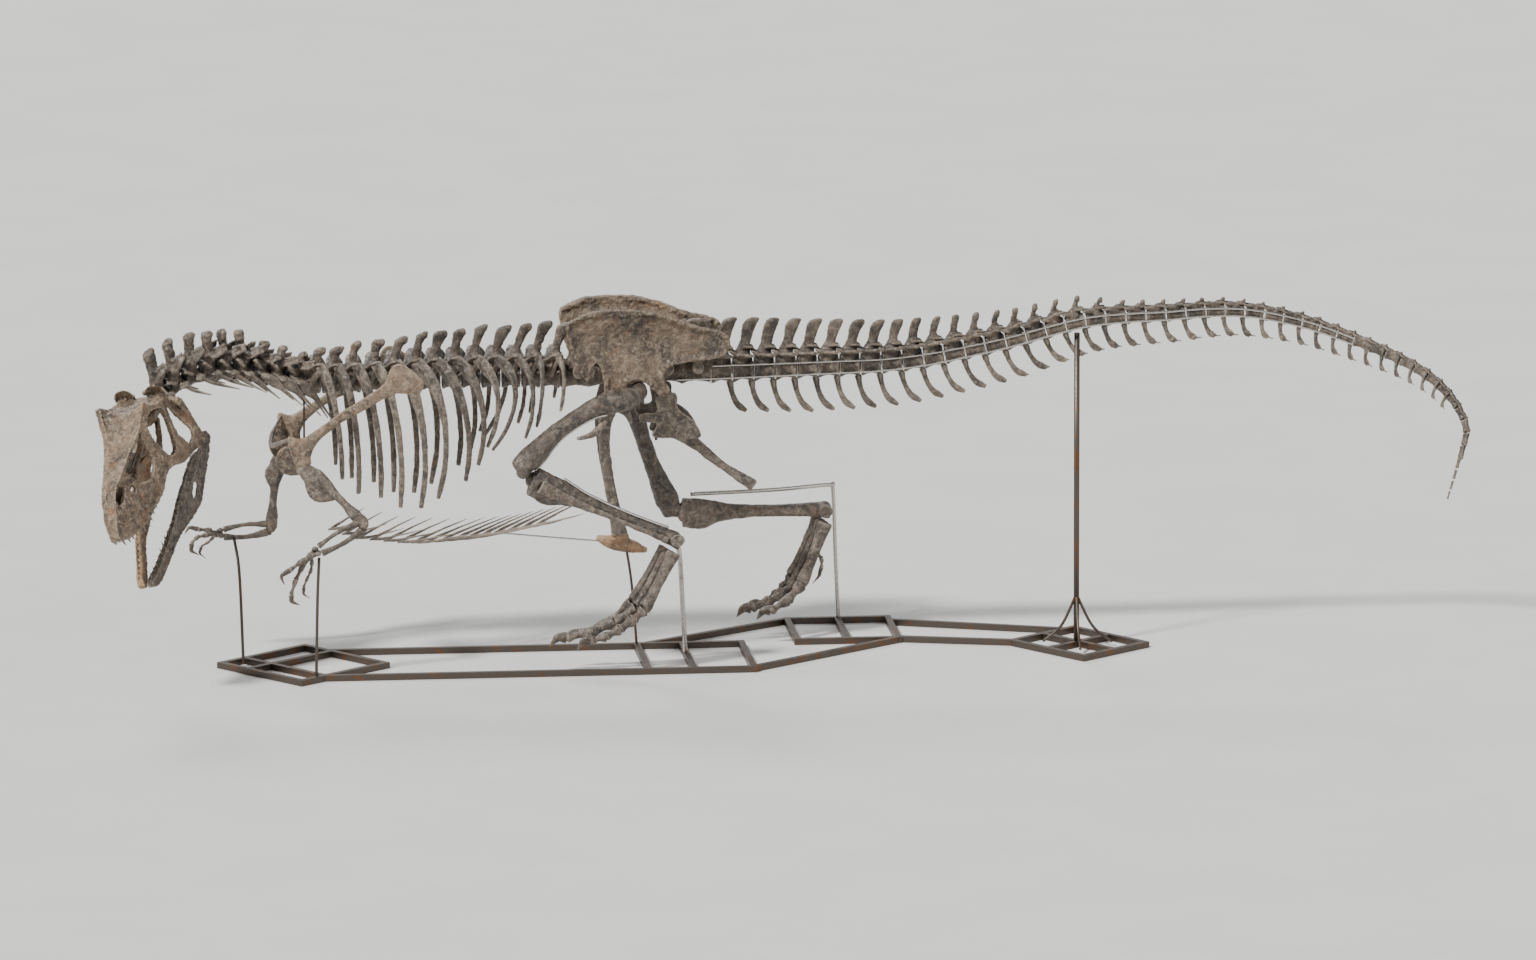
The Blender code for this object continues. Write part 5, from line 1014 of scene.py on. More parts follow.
# Hips
@dataclass
class Hips:
    """The fused hip vertebrae, the two high hip blades, and the bones below them."""

    bone: Backbone
    half_width: float = 0.19
    blade: Points = (
        (-0.435, 1.940), (-0.390, 1.972), (-0.300, 2.010), (-0.180, 2.022), (-0.010, 2.015),
        (0.130, 1.982), (0.280, 1.925), (0.420, 1.888), (0.470, 1.860), (0.486, 1.810),
        (0.462, 1.758), (0.415, 1.734), (0.280, 1.720), (0.165, 1.700), (0.120, 1.665),
        (0.110, 1.625), (0.150, 1.560), (0.105, 1.528), (0.045, 1.570), (0.000, 1.615),
        (-0.060, 1.622), (-0.105, 1.580), (-0.115, 1.510), (-0.205, 1.522), (-0.225, 1.620),
        (-0.250, 1.710), (-0.285, 1.700), (-0.315, 1.616), (-0.375, 1.700), (-0.412, 1.795))
    ischium: Points = (
        (0.075, 1.515), (0.185, 1.528), (0.200, 1.440), (0.290, 1.360), (0.335, 1.265),
        (0.250, 1.255), (0.150, 1.260), (0.060, 1.275), (0.085, 1.350), (-0.005, 1.360),
        (-0.012, 1.410), (0.080, 1.425))

    def ilium(self, side: Side) -> list[Shape]:
        """One hip blade: a dished sheet with a raised rim and a thick socket."""
        outline = rounded(self.blade, 0.016)

        def offset(x: float, z: float) -> Vector:
            """Half the thickness, more along the rim and round the socket."""
            socket = math.exp(-(((x + 0.03) / 0.15) ** 2 + ((z - 1.58) / 0.08) ** 2))
            rim = math.exp(-((edge_distance((x, z), [outline]) - 0.012) / 0.014) ** 2)
            return Vector((0, 0.009 + 0.024 * socket + 0.017 * rim, 0))

        def place(x: float, z: float) -> Vector:
            """The middle of the sheet."""
            dish = 0.046 * math.exp(-(((x - 0.02) / 0.34) ** 2 + ((z - 1.85) / 0.10) ** 2))
            crest = (x + 0.04 + 0.2 * (z - 1.8)) / 0.045
            ridge = 0.026 * math.exp(-crest ** 2 - ((z - 1.76) / 0.14) ** 2)
            lean = 0.030 * (z - 1.66)
            return Vector((x, -side.value * (self.half_width + 0.018 - dish + lean + ridge), z))

        return [plate(outline, [], place, offset, 0.020)]

    def pubis(self) -> list[Shape]:
        """Both pubic bones with a small flange near each top; the long foot that joins them is made by boot.
        """
        shapes = []
        for s in (1, -1):
            shapes.append(bent([
                (-0.160, -s * 0.185, 1.508), (-0.205, -s * 0.150, 1.390), (-0.205, -s * 0.070, 1.210),
                (-0.170, -s * 0.026, 0.980), (-0.115, -s * 0.016, 0.700)], 24,
                [0.036, 0.026, 0.022, 0.022, 0.022, 0.024], [0.052, 0.036, 0.032, 0.030, 0.032, 0.046], 12))
            shapes.append(bent([
                (-0.165, -s * 0.170, 1.480), (-0.090, -s * 0.150, 1.420), (-0.065, -s * 0.140, 1.360)],
                8, [0.014, 0.010, 0.006], [0.045, 0.026, 0.012], 10))
        return shapes

    def boot(self) -> list[Shape]:
        """The long foot where both pubic bones meet, with the end of their shafts."""
        return [bent([(-0.117, 0, 0.740), (-0.108, 0, 0.655)], 2, [0.030, 0.036], [0.038, 0.056], 14), bent([
            (-0.245, 0, 0.682), (-0.180, 0, 0.660), (-0.100, 0, 0.642), (0.000, 0, 0.615),
            (0.040, 0, 0.605)], 18, [0.014, 0.034, 0.040, 0.040, 0.030, 0.014],
            [0.014, 0.034, 0.046, 0.042, 0.032, 0.014], 14)]

    def ischia(self) -> list[Shape]:
        """Both ischia: wide plates at the hip and a slim pair of rods running back."""
        shapes, outline = [], rounded(self.ischium, 0.016)
        for s in (1, -1):
            shapes.append(plate(
                outline, [], lambda x, z, s=s: Vector((x, -s * (0.165 - (1.53 - z) * 0.30), z)),
                lambda x, z: Vector((0, 0.010 + 0.008 * math.exp(
                    -(edge_distance((x, z), [outline]) / 0.014) ** 2), 0)), 0.020))
            shapes.append(bent([
                (0.190, -s * 0.095, 1.300), (0.310, -s * 0.050, 1.210), (0.450, -s * 0.020, 1.090),
                (0.640, -s * 0.015, 0.960)], 18, [0.020, 0.018, 0.016, 0.018],
                [0.042, 0.028, 0.022, 0.034], 12))
        return shapes

    def sacrum(self) -> list[Shape]:
        """The fused hip vertebrae with their struts and one low plate of spines."""
        joints = self.bone.joints(self.bone.hip_x, self.bone.tail_x, 5)
        shapes = []
        for n in range(5):
            seat, length = self.bone.seat((joints[n] + joints[n + 1]) / 2), joints[n + 1] - joints[n]
            radius = (0.064, 0.060, 0.058, 0.060, 0.066)[n]
            bone = Vertebra(seat, length + 0.004, radius, 0.300, 0.020, length * 0.30, length * 0.36,
                            length * 0.44, 0.013, joint=0.9)
            shapes += bone.shapes()
            for side in (1, -1):
                shapes.append(bent([seat.at(0, side * 0.02, 0.030), seat.at(0, side * 0.10, 0.042),
                                    seat.at(0, side * 0.187, 0.060)], 8, [0.040, 0.026, 0.034],
                                   [0.048, 0.028, 0.044], 10, seat.along))
        return shapes

    def build(self) -> None:
        """Makes and dresses the hips."""
        clay = Clay(voxel=0.0048, rounds=2, lump=0.008, pit=0.0040)
        rough = Clay(voxel=0.0046, rounds=1, lump=0.013, lump_size=0.045, pit=0.0072, pit_size=0.016)
        for side in Side:
            show(f"hip_blade_{side.word}", [rough.sculpt(self.ilium(side))], TAN, [f"ilium_{side.word}"])
        show("pubic_bones", [clay.sculpt(self.pubis())], BROWN, ["pubis"])
        show("pubic_boot", [clay.sculpt(self.boot())], ORANGE)
        show("ischia", [clay.sculpt(self.ischia())], BROWN, ["ischium"])
        show("hip_vertebrae", [clay.sculpt(self.sacrum())], DARK, ["sacrum"])


# Head
@dataclass
class Head:
    """The skull and the lower jaw, in axes from the jaw joint: +x snout, +y left, +z roof."""

    joint: Vector = field(default_factory=lambda: Vector((-2.656, -0.256, 1.336)))
    forward: Vector = field(default_factory=lambda: Vector((-0.392, -0.857, -0.334)).normalized())
    crown: Vector = field(default_factory=lambda: Vector((-0.357, -0.193, 0.914)))
    jaw_open: float = math.radians(24)
    window_growth: float = 1.07
    side: Points = (
        (1.005, -0.060), (1.010, 0.000), (0.985, 0.060), (0.945, 0.120), (0.900, 0.172),
        (0.850, 0.205), (0.766, 0.235), (0.640, 0.285), (0.565, 0.315), (0.500, 0.350),
        (0.450, 0.405), (0.395, 0.465), (0.345, 0.415), (0.270, 0.385), (0.160, 0.355),
        (0.085, 0.330), (0.030, 0.250), (0.015, 0.120), (-0.020, 0.030), (-0.045, -0.030),
        (0.000, -0.060), (0.070, -0.035), (0.150, -0.020), (0.262, -0.015), (0.350, 0.020),
        (0.430, 0.020), (0.522, -0.045), (0.620, -0.075), (0.750, -0.100), (0.886, -0.095),
        (0.961, -0.080))
    windows: Sequence[Points] = (
        ((0.900, 0.150), (0.850, 0.178), (0.800, 0.165), (0.808, 0.135), (0.850, 0.108),
         (0.892, 0.104)),
        ((0.490, 0.330), (0.545, 0.285), (0.620, 0.250), (0.690, 0.218), (0.690, 0.180),
         (0.640, 0.110), (0.580, 0.080), (0.520, 0.098), (0.492, 0.150), (0.490, 0.210),
         (0.503, 0.275)),
        ((0.755, 0.115), (0.720, 0.130), (0.705, 0.100), (0.735, 0.085)),
        ((0.385, 0.370), (0.425, 0.320), (0.425, 0.260), (0.398, 0.181), (0.370, 0.122),
         (0.329, 0.085), (0.280, 0.105), (0.258, 0.160), (0.245, 0.236), (0.245, 0.320),
         (0.300, 0.350)),
        ((0.150, 0.290), (0.110, 0.270), (0.090, 0.190), (0.060, 0.100), (0.070, 0.055),
         (0.135, 0.040), (0.163, 0.088), (0.190, 0.140), (0.185, 0.230)))
    roof: Points = (
        (0.985, 0.012), (0.930, 0.028), (0.840, 0.032), (0.766, 0.045), (0.646, 0.065),
        (0.564, 0.082), (0.498, 0.101), (0.420, 0.129), (0.386, 0.139), (0.330, 0.132),
        (0.270, 0.152), (0.160, 0.132), (0.080, 0.100))
    jaw: Points = (
        (0.925, 0.045), (0.945, 0.010), (0.910, -0.022), (0.820, -0.036), (0.684, -0.036),
        (0.567, -0.044), (0.409, -0.096), (0.289, -0.115), (0.166, -0.090), (0.000, -0.056),
        (-0.095, -0.045), (-0.100, 0.000), (-0.080, 0.036), (-0.030, 0.012), (0.020, 0.016),
        (0.120, 0.075), (0.250, 0.092), (0.400, 0.082), (0.526, 0.058), (0.673, 0.044),
        (0.821, 0.040))
    jaw_hole: Points = (
        (0.330, -0.015), (0.270, 0.010), (0.225, -0.012), (0.265, -0.045), (0.320, -0.042))

    def matrix(self) -> Matrix:
        """The skull's place in the room."""
        up = (self.crown - self.forward * self.crown.dot(self.forward)).normalized()
        axes = Matrix((self.forward, up.cross(self.forward), up)).transposed()
        return Matrix.Translation(self.joint) @ axes.to_4x4()

    def roof_height(self, x: float, y: float) -> float:
        """The height of the roof, with the horns before the eyes."""
        horn = 0.055 * math.exp(-((x - 0.386) / 0.05) ** 2) * min(1.0, (y / 0.135) ** 2)
        edge = pick(-x, [-a for a, b in self.roof], [b for a, b in self.roof])
        ridge = 0.020 * math.exp(-((abs(y) - edge + 0.010) / 0.012) ** 2)
        places = [0.05, 0.16, 0.27, 0.33, 0.386, 0.498, 0.564, 0.646, 0.766, 0.84, 0.93, 0.985]
        return horn + ridge + pick(x, places, [0.315, 0.345, 0.362, 0.378, 0.390, 0.322, 0.288, 0.261,
                                               0.212, 0.184, 0.120, 0.045])

    def half_width(self, x: float, z: float = -0.1) -> float:
        """Half the skull's width, which narrows from the tooth row to the roof."""
        low = pick(x, [-0.05, 0.00, 0.20, 0.40, 0.60, 0.80, 0.95, 1.01],
                   [0.178, 0.184, 0.172, 0.138, 0.100, 0.062, 0.038, 0.014])
        top = pick(-x, [-a for a, b in self.roof], [b for a, b in self.roof])
        rise = max(0.0, min(1.0, (z - 0.06) / max(0.05, self.roof_height(x, 0.0) - 0.06)))
        return low + (min(low, top) - low) * rise

    def wider(self, hole: Points) -> Points:
        """The hole grown about its middle, which leaves slimmer bars."""
        middle = np.mean(hole, axis=0)
        return [tuple(middle + (np.array(p) - middle) * self.window_growth) for p in hole]

    def wall(self, side: int) -> Shape:
        """One side wall with its windows, thin in the hollow before the eye."""
        outline = rounded(self.side, 0.016)
        holes = [rounded(self.wider(hole), 0.014) for hole in self.windows]

        def offset(x: float, z: float) -> Vector:
            """Half the thickness of the wall."""
            rim = math.exp(-(edge_distance((x, z), [outline, *holes[3:4]]) / 0.020) ** 2)
            hollow = math.exp(-(((x - 0.62) / 0.12) ** 2 + ((z - 0.15) / 0.10) ** 2))
            return Vector((0, 0.0105 + 0.006 * rim - 0.003 * hollow, 0))

        def place(x: float, z: float) -> Vector:
            """The middle of the wall."""
            hollow = 0.016 * math.exp(-(((x - 0.63) / 0.10) ** 2 + ((z - 0.14) / 0.085) ** 2))
            cheek = 0.008 * math.exp(-(((x - 0.30) / 0.10) ** 2 + ((z - 0.05) / 0.05) ** 2))
            return Vector((x, side * (self.half_width(x, z) - hollow + cheek), z))

        return plate(outline, holes, place, offset, 0.020)

    def skull(self) -> list[Shape]:
        """The skull without its teeth."""
        shapes = [self.wall(1), self.wall(-1)]
        outline = rounded([*self.roof, *((x, -y) for x, y in reversed(self.roof))], 0.016)
        shapes.append(plate(outline, [], lambda x, y: Vector((x, y, self.roof_height(x, y))),
                            lambda x, y: Vector((0, 0, 0.012)), 0.020))
        for s in (1, -1):
            dish = [(0.062 * math.cos(a), 0.056 * math.sin(a)) for a in np.linspace(0, 2 * math.pi, 25)[:-1]]
            shapes.append(plate(
                dish, [], lambda u, v, s=s: Vector((0.110 + 5.0 * (u * u + v * v) + 0.2 * v,
                                                    s * 0.098 + u, 0.372 + v)),
                lambda u, v: Vector((0.008, 0, 0.004)), 0.018))
            shapes.append(bent([(0.06, s * 0.03, 0.25), (0.045, s * 0.10, 0.265), (0.060, s * 0.180, 0.270)],
                               8, [0.022, 0.024, 0.020], [0.040, 0.030, 0.026], 10, (1, 0, 0)))
            shapes.append(bent([
                (0.12, s * 0.040, 0.210), (0.24, s * 0.060, 0.110), (0.42, s * 0.075, 0.040),
                (0.70, s * 0.050, 0.010), (0.930, s * 0.030, -0.030)], 18,
                [0.018, 0.022, 0.030, 0.026, 0.020], [0.012, 0.011, 0.010, 0.010, 0.014], 10))
            shapes.append(bent([
                (0.030, s * 0.160, 0.255), (0.000, s * 0.170, 0.120), (-0.005, s * 0.178, -0.030)], 10,
                [0.020, 0.016, 0.030], [0.030, 0.020, 0.024], 10))
            shapes.append(bent([
                (0.425, s * self.half_width(0.41, 0.36), 0.385),
                (0.455, s * self.half_width(0.44, 0.25), 0.240),
                (0.420, s * self.half_width(0.40, 0.10), 0.110)], 12, [0.013, 0.012, 0.015],
                [0.026, 0.013, 0.022], 10))
        shapes.append(bent([(0.005, 0, 0.235), (0.060, 0, 0.240), (0.180, 0, 0.270), (0.340, 0, 0.300)], 14,
                           [0.024, 0.055, 0.068, 0.060, 0.045], [0.024, 0.060, 0.070, 0.055, 0.040], 12))
        shapes.append(blob(Vector((-0.010, 0, 0.225)), (0.026, 0.026, 0.024)))
        shapes.append(blob(Vector((0.952, 0, 0.000)), (0.044, 0.040, 0.088)))
        return shapes

    def tooth_row(self, count: int, first: float, pitch: float, root: Callable[[float], float],
                  half: Callable[[float], float], reach: float, way: int) -> list[Shape]:
        """The teeth of both sides of one jaw.

        Args:
            count: Teeth on each side.
            first: Where the front tooth stands.
            pitch: The step between teeth.
            root: The height of the tooth row at x.
            half: Half the width of the row at x.
            reach: The length of the largest tooth.
            way: 1 for teeth that point up and -1 for down.

        Returns:
            The closed shapes.
        """
        shapes = []
        for side in (1, -1):
            for k in range(count):
                x = first - k * pitch
                size = reach * (0.58 + 0.42 * math.sin(math.pi * min(1.0, (k + 2) / (count - 1))))
                size *= 1.0 + 0.16 * math.sin(k * 5.3 + side)
                base = Vector((x, side * half(x), root(x) - way * 0.014))
                mid = base + Vector((0.002, side * 0.002, way * size * 0.62))
                tip = base + Vector((-size * 0.26, 0, way * (size + 0.014)))
                shapes.append(bent([base, mid, tip], 8, [0.0072, 0.0060, 0.0040, 0.0007],
                                   [0.0118, 0.0100, 0.0062, 0.0010], 10))
        return shapes

    def half_jaw(self, side: int) -> list[Shape]:
        """One half of the lower jaw."""
        outline, hole = rounded(self.jaw, 0.016), rounded(self.jaw_hole, 0.012)

        def place(x: float, z: float) -> Vector:
            """The middle of the jaw's plate."""
            curve = 0.012 * math.exp(-((z + 0.01) / 0.05) ** 2) * math.exp(-((x - 0.3) / 0.25) ** 2)
            return Vector((x, side * (self.jaw_half(x) + curve), z))

        def offset(x: float, z: float) -> Vector:
            """Half the thickness of the jaw's plate."""
            rim = math.exp(-(edge_distance((x, z), [outline]) / 0.016) ** 2)
            return Vector((0, pick(x, [0.0, 0.3, 0.6, 0.95], [0.012, 0.008, 0.012, 0.018]) + 0.005 * rim, 0))

        shapes = [plate(outline, [hole], place, offset, 0.020)]
        half = side * self.jaw_half(0.0)
        shapes.append(blob(Vector((0.000, half, -0.010)), (0.040, 0.024, 0.026)))
        ridge = [(x, side * (self.jaw_half(x) + proud), z)
                 for x, proud, z in ((-0.02, 0.010, 0.020), (0.15, 0.015, 0.040), (0.34, 0.013, 0.030))]
        shapes.append(bent(ridge, 12, [0.010, 0.013, 0.008], [0.016, 0.018, 0.010], 10))
        return shapes

    @staticmethod
    def jaw_half(x: float) -> float:
        """Half the width between the two halves of the lower jaw."""
        return pick(x, [-0.10, 0.00, 0.30, 0.60, 0.85, 0.94], [0.178, 0.183, 0.158, 0.102, 0.052, 0.030])

    def build(self) -> None:
        """Makes and dresses the head."""
        matrix = self.matrix()
        hinge = matrix @ Matrix.Translation((0.010, 0, -0.062)) @ Matrix.Rotation(self.jaw_open, 4, "Y")
        clay = Clay(voxel=0.0050, rounds=1, lump=0.009, lump_size=0.024, pit=0.0050, pit_size=0.012)
        show("skull_bones", [clay.sculpt(moved(self.skull(), matrix))], TAN, ["skull"])
        places, roots = [0.45, 0.55, 0.64, 0.75, 0.89, 1.0], [0.010, -0.045, -0.068, -0.088, -0.082, -0.055]
        upper = self.tooth_row(13, 0.980, 0.041, lambda x: pick(x, places, roots), self.half_width, 0.060, -1)
        gums = [0.45, 0.53, 0.67, 0.82, 0.93], [0.062, 0.048, 0.034, 0.030, 0.034]
        lower = self.tooth_row(12, 0.905, 0.040, lambda x: pick(x, *gums), self.jaw_half, 0.046, 1)
        show("upper_teeth", [raw_mesh(moved(upper, matrix))], CLAW)
        finishes = {Side.LEFT: BROWN, Side.RIGHT: ORANGE}
        for side in Side:
            bones = moved(self.half_jaw(side.value), hinge)
            show(f"jaw_{side.word}_bone", [clay.sculpt(bones)], finishes[side], [f"jaw_{side.word}"])
        show("lower_teeth", [raw_mesh(moved(lower, hinge))], CLAW)
        lines = (((0.545, 0.075, 0.235), (0.600, 0.020, 0.160), (0.650, -0.055, 0.110)),
                 ((0.585, 0.070, 0.215), (0.640, 0.015, 0.150), (0.690, -0.050, 0.100)))
        wires = [bent(line, 10, [0.0055], [0.0055]) for line in lines]
        show("skull_rods", [raw_mesh(moved(wires, matrix))], STEEL)


# Shoulders, arms and legs
def digit(points: Points, radius: float, bones: int, claw: Points, clay: Clay) -> list[bpy.types.Mesh]:
    """A toe or finger of waisted bones.

    Args:
        points: The run of its bones.
        radius: Half the thickness of the first bone's end.
        bones: How many bones it has before the claw.
        claw: The middle and the tip of the claw.
        clay: How it is sculpted.

    Returns:
        A mesh for each bone, and the claw's last.
    """
    path = [Vector(p) for p in smooth_path(points, bones + 1)]
    meshes = []
    for k, (a, b) in enumerate(zip(path, path[1:])):
        size = radius * (1.0 - 0.30 * k / bones)
        along = (b - a).normalized()
        a, b = a + along * size * 0.20, b - along * size * 0.10
        meshes.append(clay.sculpt([
            bent([a, a.lerp(b, 0.5), b], 9, [size, size * 0.90, size * 0.60, size * 0.62, size * 0.98],
                 [size * 1.15, size, size * 0.62, size * 0.68, size * 1.05], 12),
            blob(b + Vector((0, size * 0.45, 0)), (size * 0.62, size * 0.40, size * 0.72)),
            blob(b - Vector((0, size * 0.45, 0)), (size * 0.62, size * 0.40, size * 0.72)),
        ]))
    size, mid, tip = radius * 0.70, Vector(claw[0]), Vector(claw[1])
    heel = path[-1] + (mid - path[-1]).normalized() * size * 0.2
    meshes.append(clay.sculpt([bent(
        [heel, heel.lerp(mid, 0.55) + Vector((0, 0, size * 0.25)), mid, tip], 16,
        [size * 0.95, size * 0.72, size * 0.52, size * 0.34, 0.0022],
        [size * 1.30, size * 1.10, size * 0.86, size * 0.50, 0.0024], 12)]))
    return meshes


@dataclass
class Arm:
    """One shoulder blade and arm."""

    side: Side
    shoulder: Vector
    elbow: Vector
    wrist: Vector
    fingers: Sequence[tuple[Points, float, int, Points]]
    blade: Points = (
        (-1.376, 1.750), (-1.300, 1.710), (-1.243, 1.650), (-1.250, 1.585), (-1.290, 1.572),
        (-1.405, 1.576), (-1.563, 1.500), (-1.721, 1.420), (-1.836, 1.328), (-1.878, 1.250),
        (-1.880, 1.200), (-1.950, 1.185), (-1.992, 1.275), (-2.005, 1.360), (-1.925, 1.350),
        (-1.836, 1.402), (-1.692, 1.498), (-1.530, 1.590), (-1.452, 1.650), (-1.425, 1.722))
    coracoid: Points = (
        (-1.950, 1.290), (-2.020, 1.300), (-2.062, 1.245), (-2.058, 1.175), (-2.010, 1.122),
        (-1.940, 1.125), (-1.900, 1.180))

    def scapula(self) -> list[Shape]:
        """The shoulder blade with the coracoid below it."""
        s, outline, lower = self.side.value, rounded(self.blade, 0.016), rounded(self.coracoid, 0.014)

        def offset(x: float, z: float) -> Vector:
            """Half the thickness, thick at the shoulder and thin at the fan."""
            thick = pick(x, [-1.98, -1.90, -1.80, -1.45, -1.28], [0.020, 0.028, 0.017, 0.011, 0.008])
            return Vector((0, thick * min(1.0, 0.55 + edge_distance((x, z), [outline]) / 0.04), 0))

        blade = plate(outline, [], lambda x, z: Vector(
            (x, -s * pick(x, [-1.85, -1.45], [0.335, 0.268]), z)), offset, 0.020)
        under = plate(lower, [], lambda x, z: Vector(
            (x, -s * (0.335 - max(0.0, 1.28 - z) * 0.62 - max(0.0, -1.95 - x) * 0.55), z)),
            lambda x, z: Vector((0, 0.012, 0)), 0.022)
        rim = blob(Vector((-1.925, -s * 0.338, 1.215)), (0.040, 0.026, 0.050))
        return [blade, under, rim]

    def humerus(self) -> list[Shape]:
        """The upper arm with its strong crest."""
        a, b, s = self.shoulder, self.elbow, self.side.value
        across = (b - a).cross(Vector((0, 1, 0))).normalized()
        bow, front = across * (0.020 * s), across * (0.045 if s > 0 else 0.040)
        path = [a, a.lerp(b, 0.30) + bow, a.lerp(b, 0.70) + bow * 0.5, b]
        return [
            bent(path, 20, [0.026, 0.034, 0.028, 0.022, 0.021, 0.028, 0.034],
                 [0.046, 0.056, 0.038, 0.024, 0.022, 0.034, 0.036], 14),
            bent([a.lerp(b, 0.10) - front * 0.2, a.lerp(b, 0.31) - front * 1.05,
                  a.lerp(b, 0.50) - front * 0.1], 10, [0.015, 0.017, 0.011], [0.036, 0.048, 0.016], 12),
            blob(b + Vector((0, 0.020, 0)), (0.030, 0.020, 0.030)),
            blob(b - Vector((0, 0.020, 0)), (0.026, 0.018, 0.026)),
            blob(a + (a - b).normalized() * 0.006, (0.040, 0.026, 0.036)),
        ]

    def forearm(self, which: int) -> list[Shape]:
        """The radius for 1, the ulna for -1."""
        a, b = self.elbow, self.wrist
        along = (b - a).normalized()
        apart = along.cross(Vector((0, 1, 0))).normalized()
        if apart.z < 0:
            apart.negate()
        top, low = a + along * 0.028 + apart * (0.024 * which), b - along * 0.010 + apart * (0.022 * which)
        thick = 0.016 if which > 0 else 0.019
        shapes = [bent([top, top.lerp(low, 0.5) + apart * (0.012 * which), low], 16,
                       [thick * 1.25, thick * 0.85, thick * 0.72, thick * 0.78, thick],
                       [thick * 1.35, thick * 0.95, thick * 0.75, thick * 0.80, thick * 1.2], 12)]
        if which < 0:
            shapes.append(bent([top - along * 0.030 - apart * 0.006, top + along * 0.02], 2,
                               [0.012, 0.018], [0.012, 0.020], 10))
        return shapes

    def build(self) -> None:
        """Makes and dresses the shoulder blade and the arm."""
        word, clay = self.side.word, Clay(voxel=0.0046, rounds=2, pit=0.0022)
        show(f"shoulder_blade_{word}", [clay.sculpt(self.scapula())], TAN, [f"scapula_{word}"])
        show(f"upper_arm_{word}", [clay.sculpt(self.humerus())], BROWN, [f"humerus_{word}"])
        for name, which in (("radius", 1), ("ulna", -1)):
            show(f"{name}_{word}_bone", [clay.sculpt(self.forearm(which))], BROWN, [f"{name}_{word}"])
        fine = Clay(voxel=0.0034, rounds=1, lump=0.002, lump_size=0.020, pit=0.0012, pit_size=0.008)
        along = (self.wrist - self.elbow).normalized()
        across = along.cross(Vector((0, 1, 0))).normalized()
        meshes, claws = [], []
        spots = ((0.006, 0.018, 0.012), (0.010, -0.016, 0.010), (0.012, 0.004, -0.018),
                 (0.032, 0.020, -0.004), (0.034, -0.012, 0.004))
        for k, (ahead, left, up) in enumerate(spots):
            spot = self.wrist + along * ahead + Vector((0, left, 0)) + across * up
            meshes.append(fine.sculpt([blob(spot, (0.017 + 0.002 * (k % 3), 0.016, 0.015))]))
        for path, radius, bones, claw in self.fingers:
            made = digit([self.wrist + along * 0.040, *path], radius, bones, claw, fine)
            meshes += made[:-1]
            claws.append(made[-1])
        show(f"hand_{word}_bones", meshes, BROWN, [f"hand_{word}"])
        show(f"hand_{word}_claws", claws, CLAW)


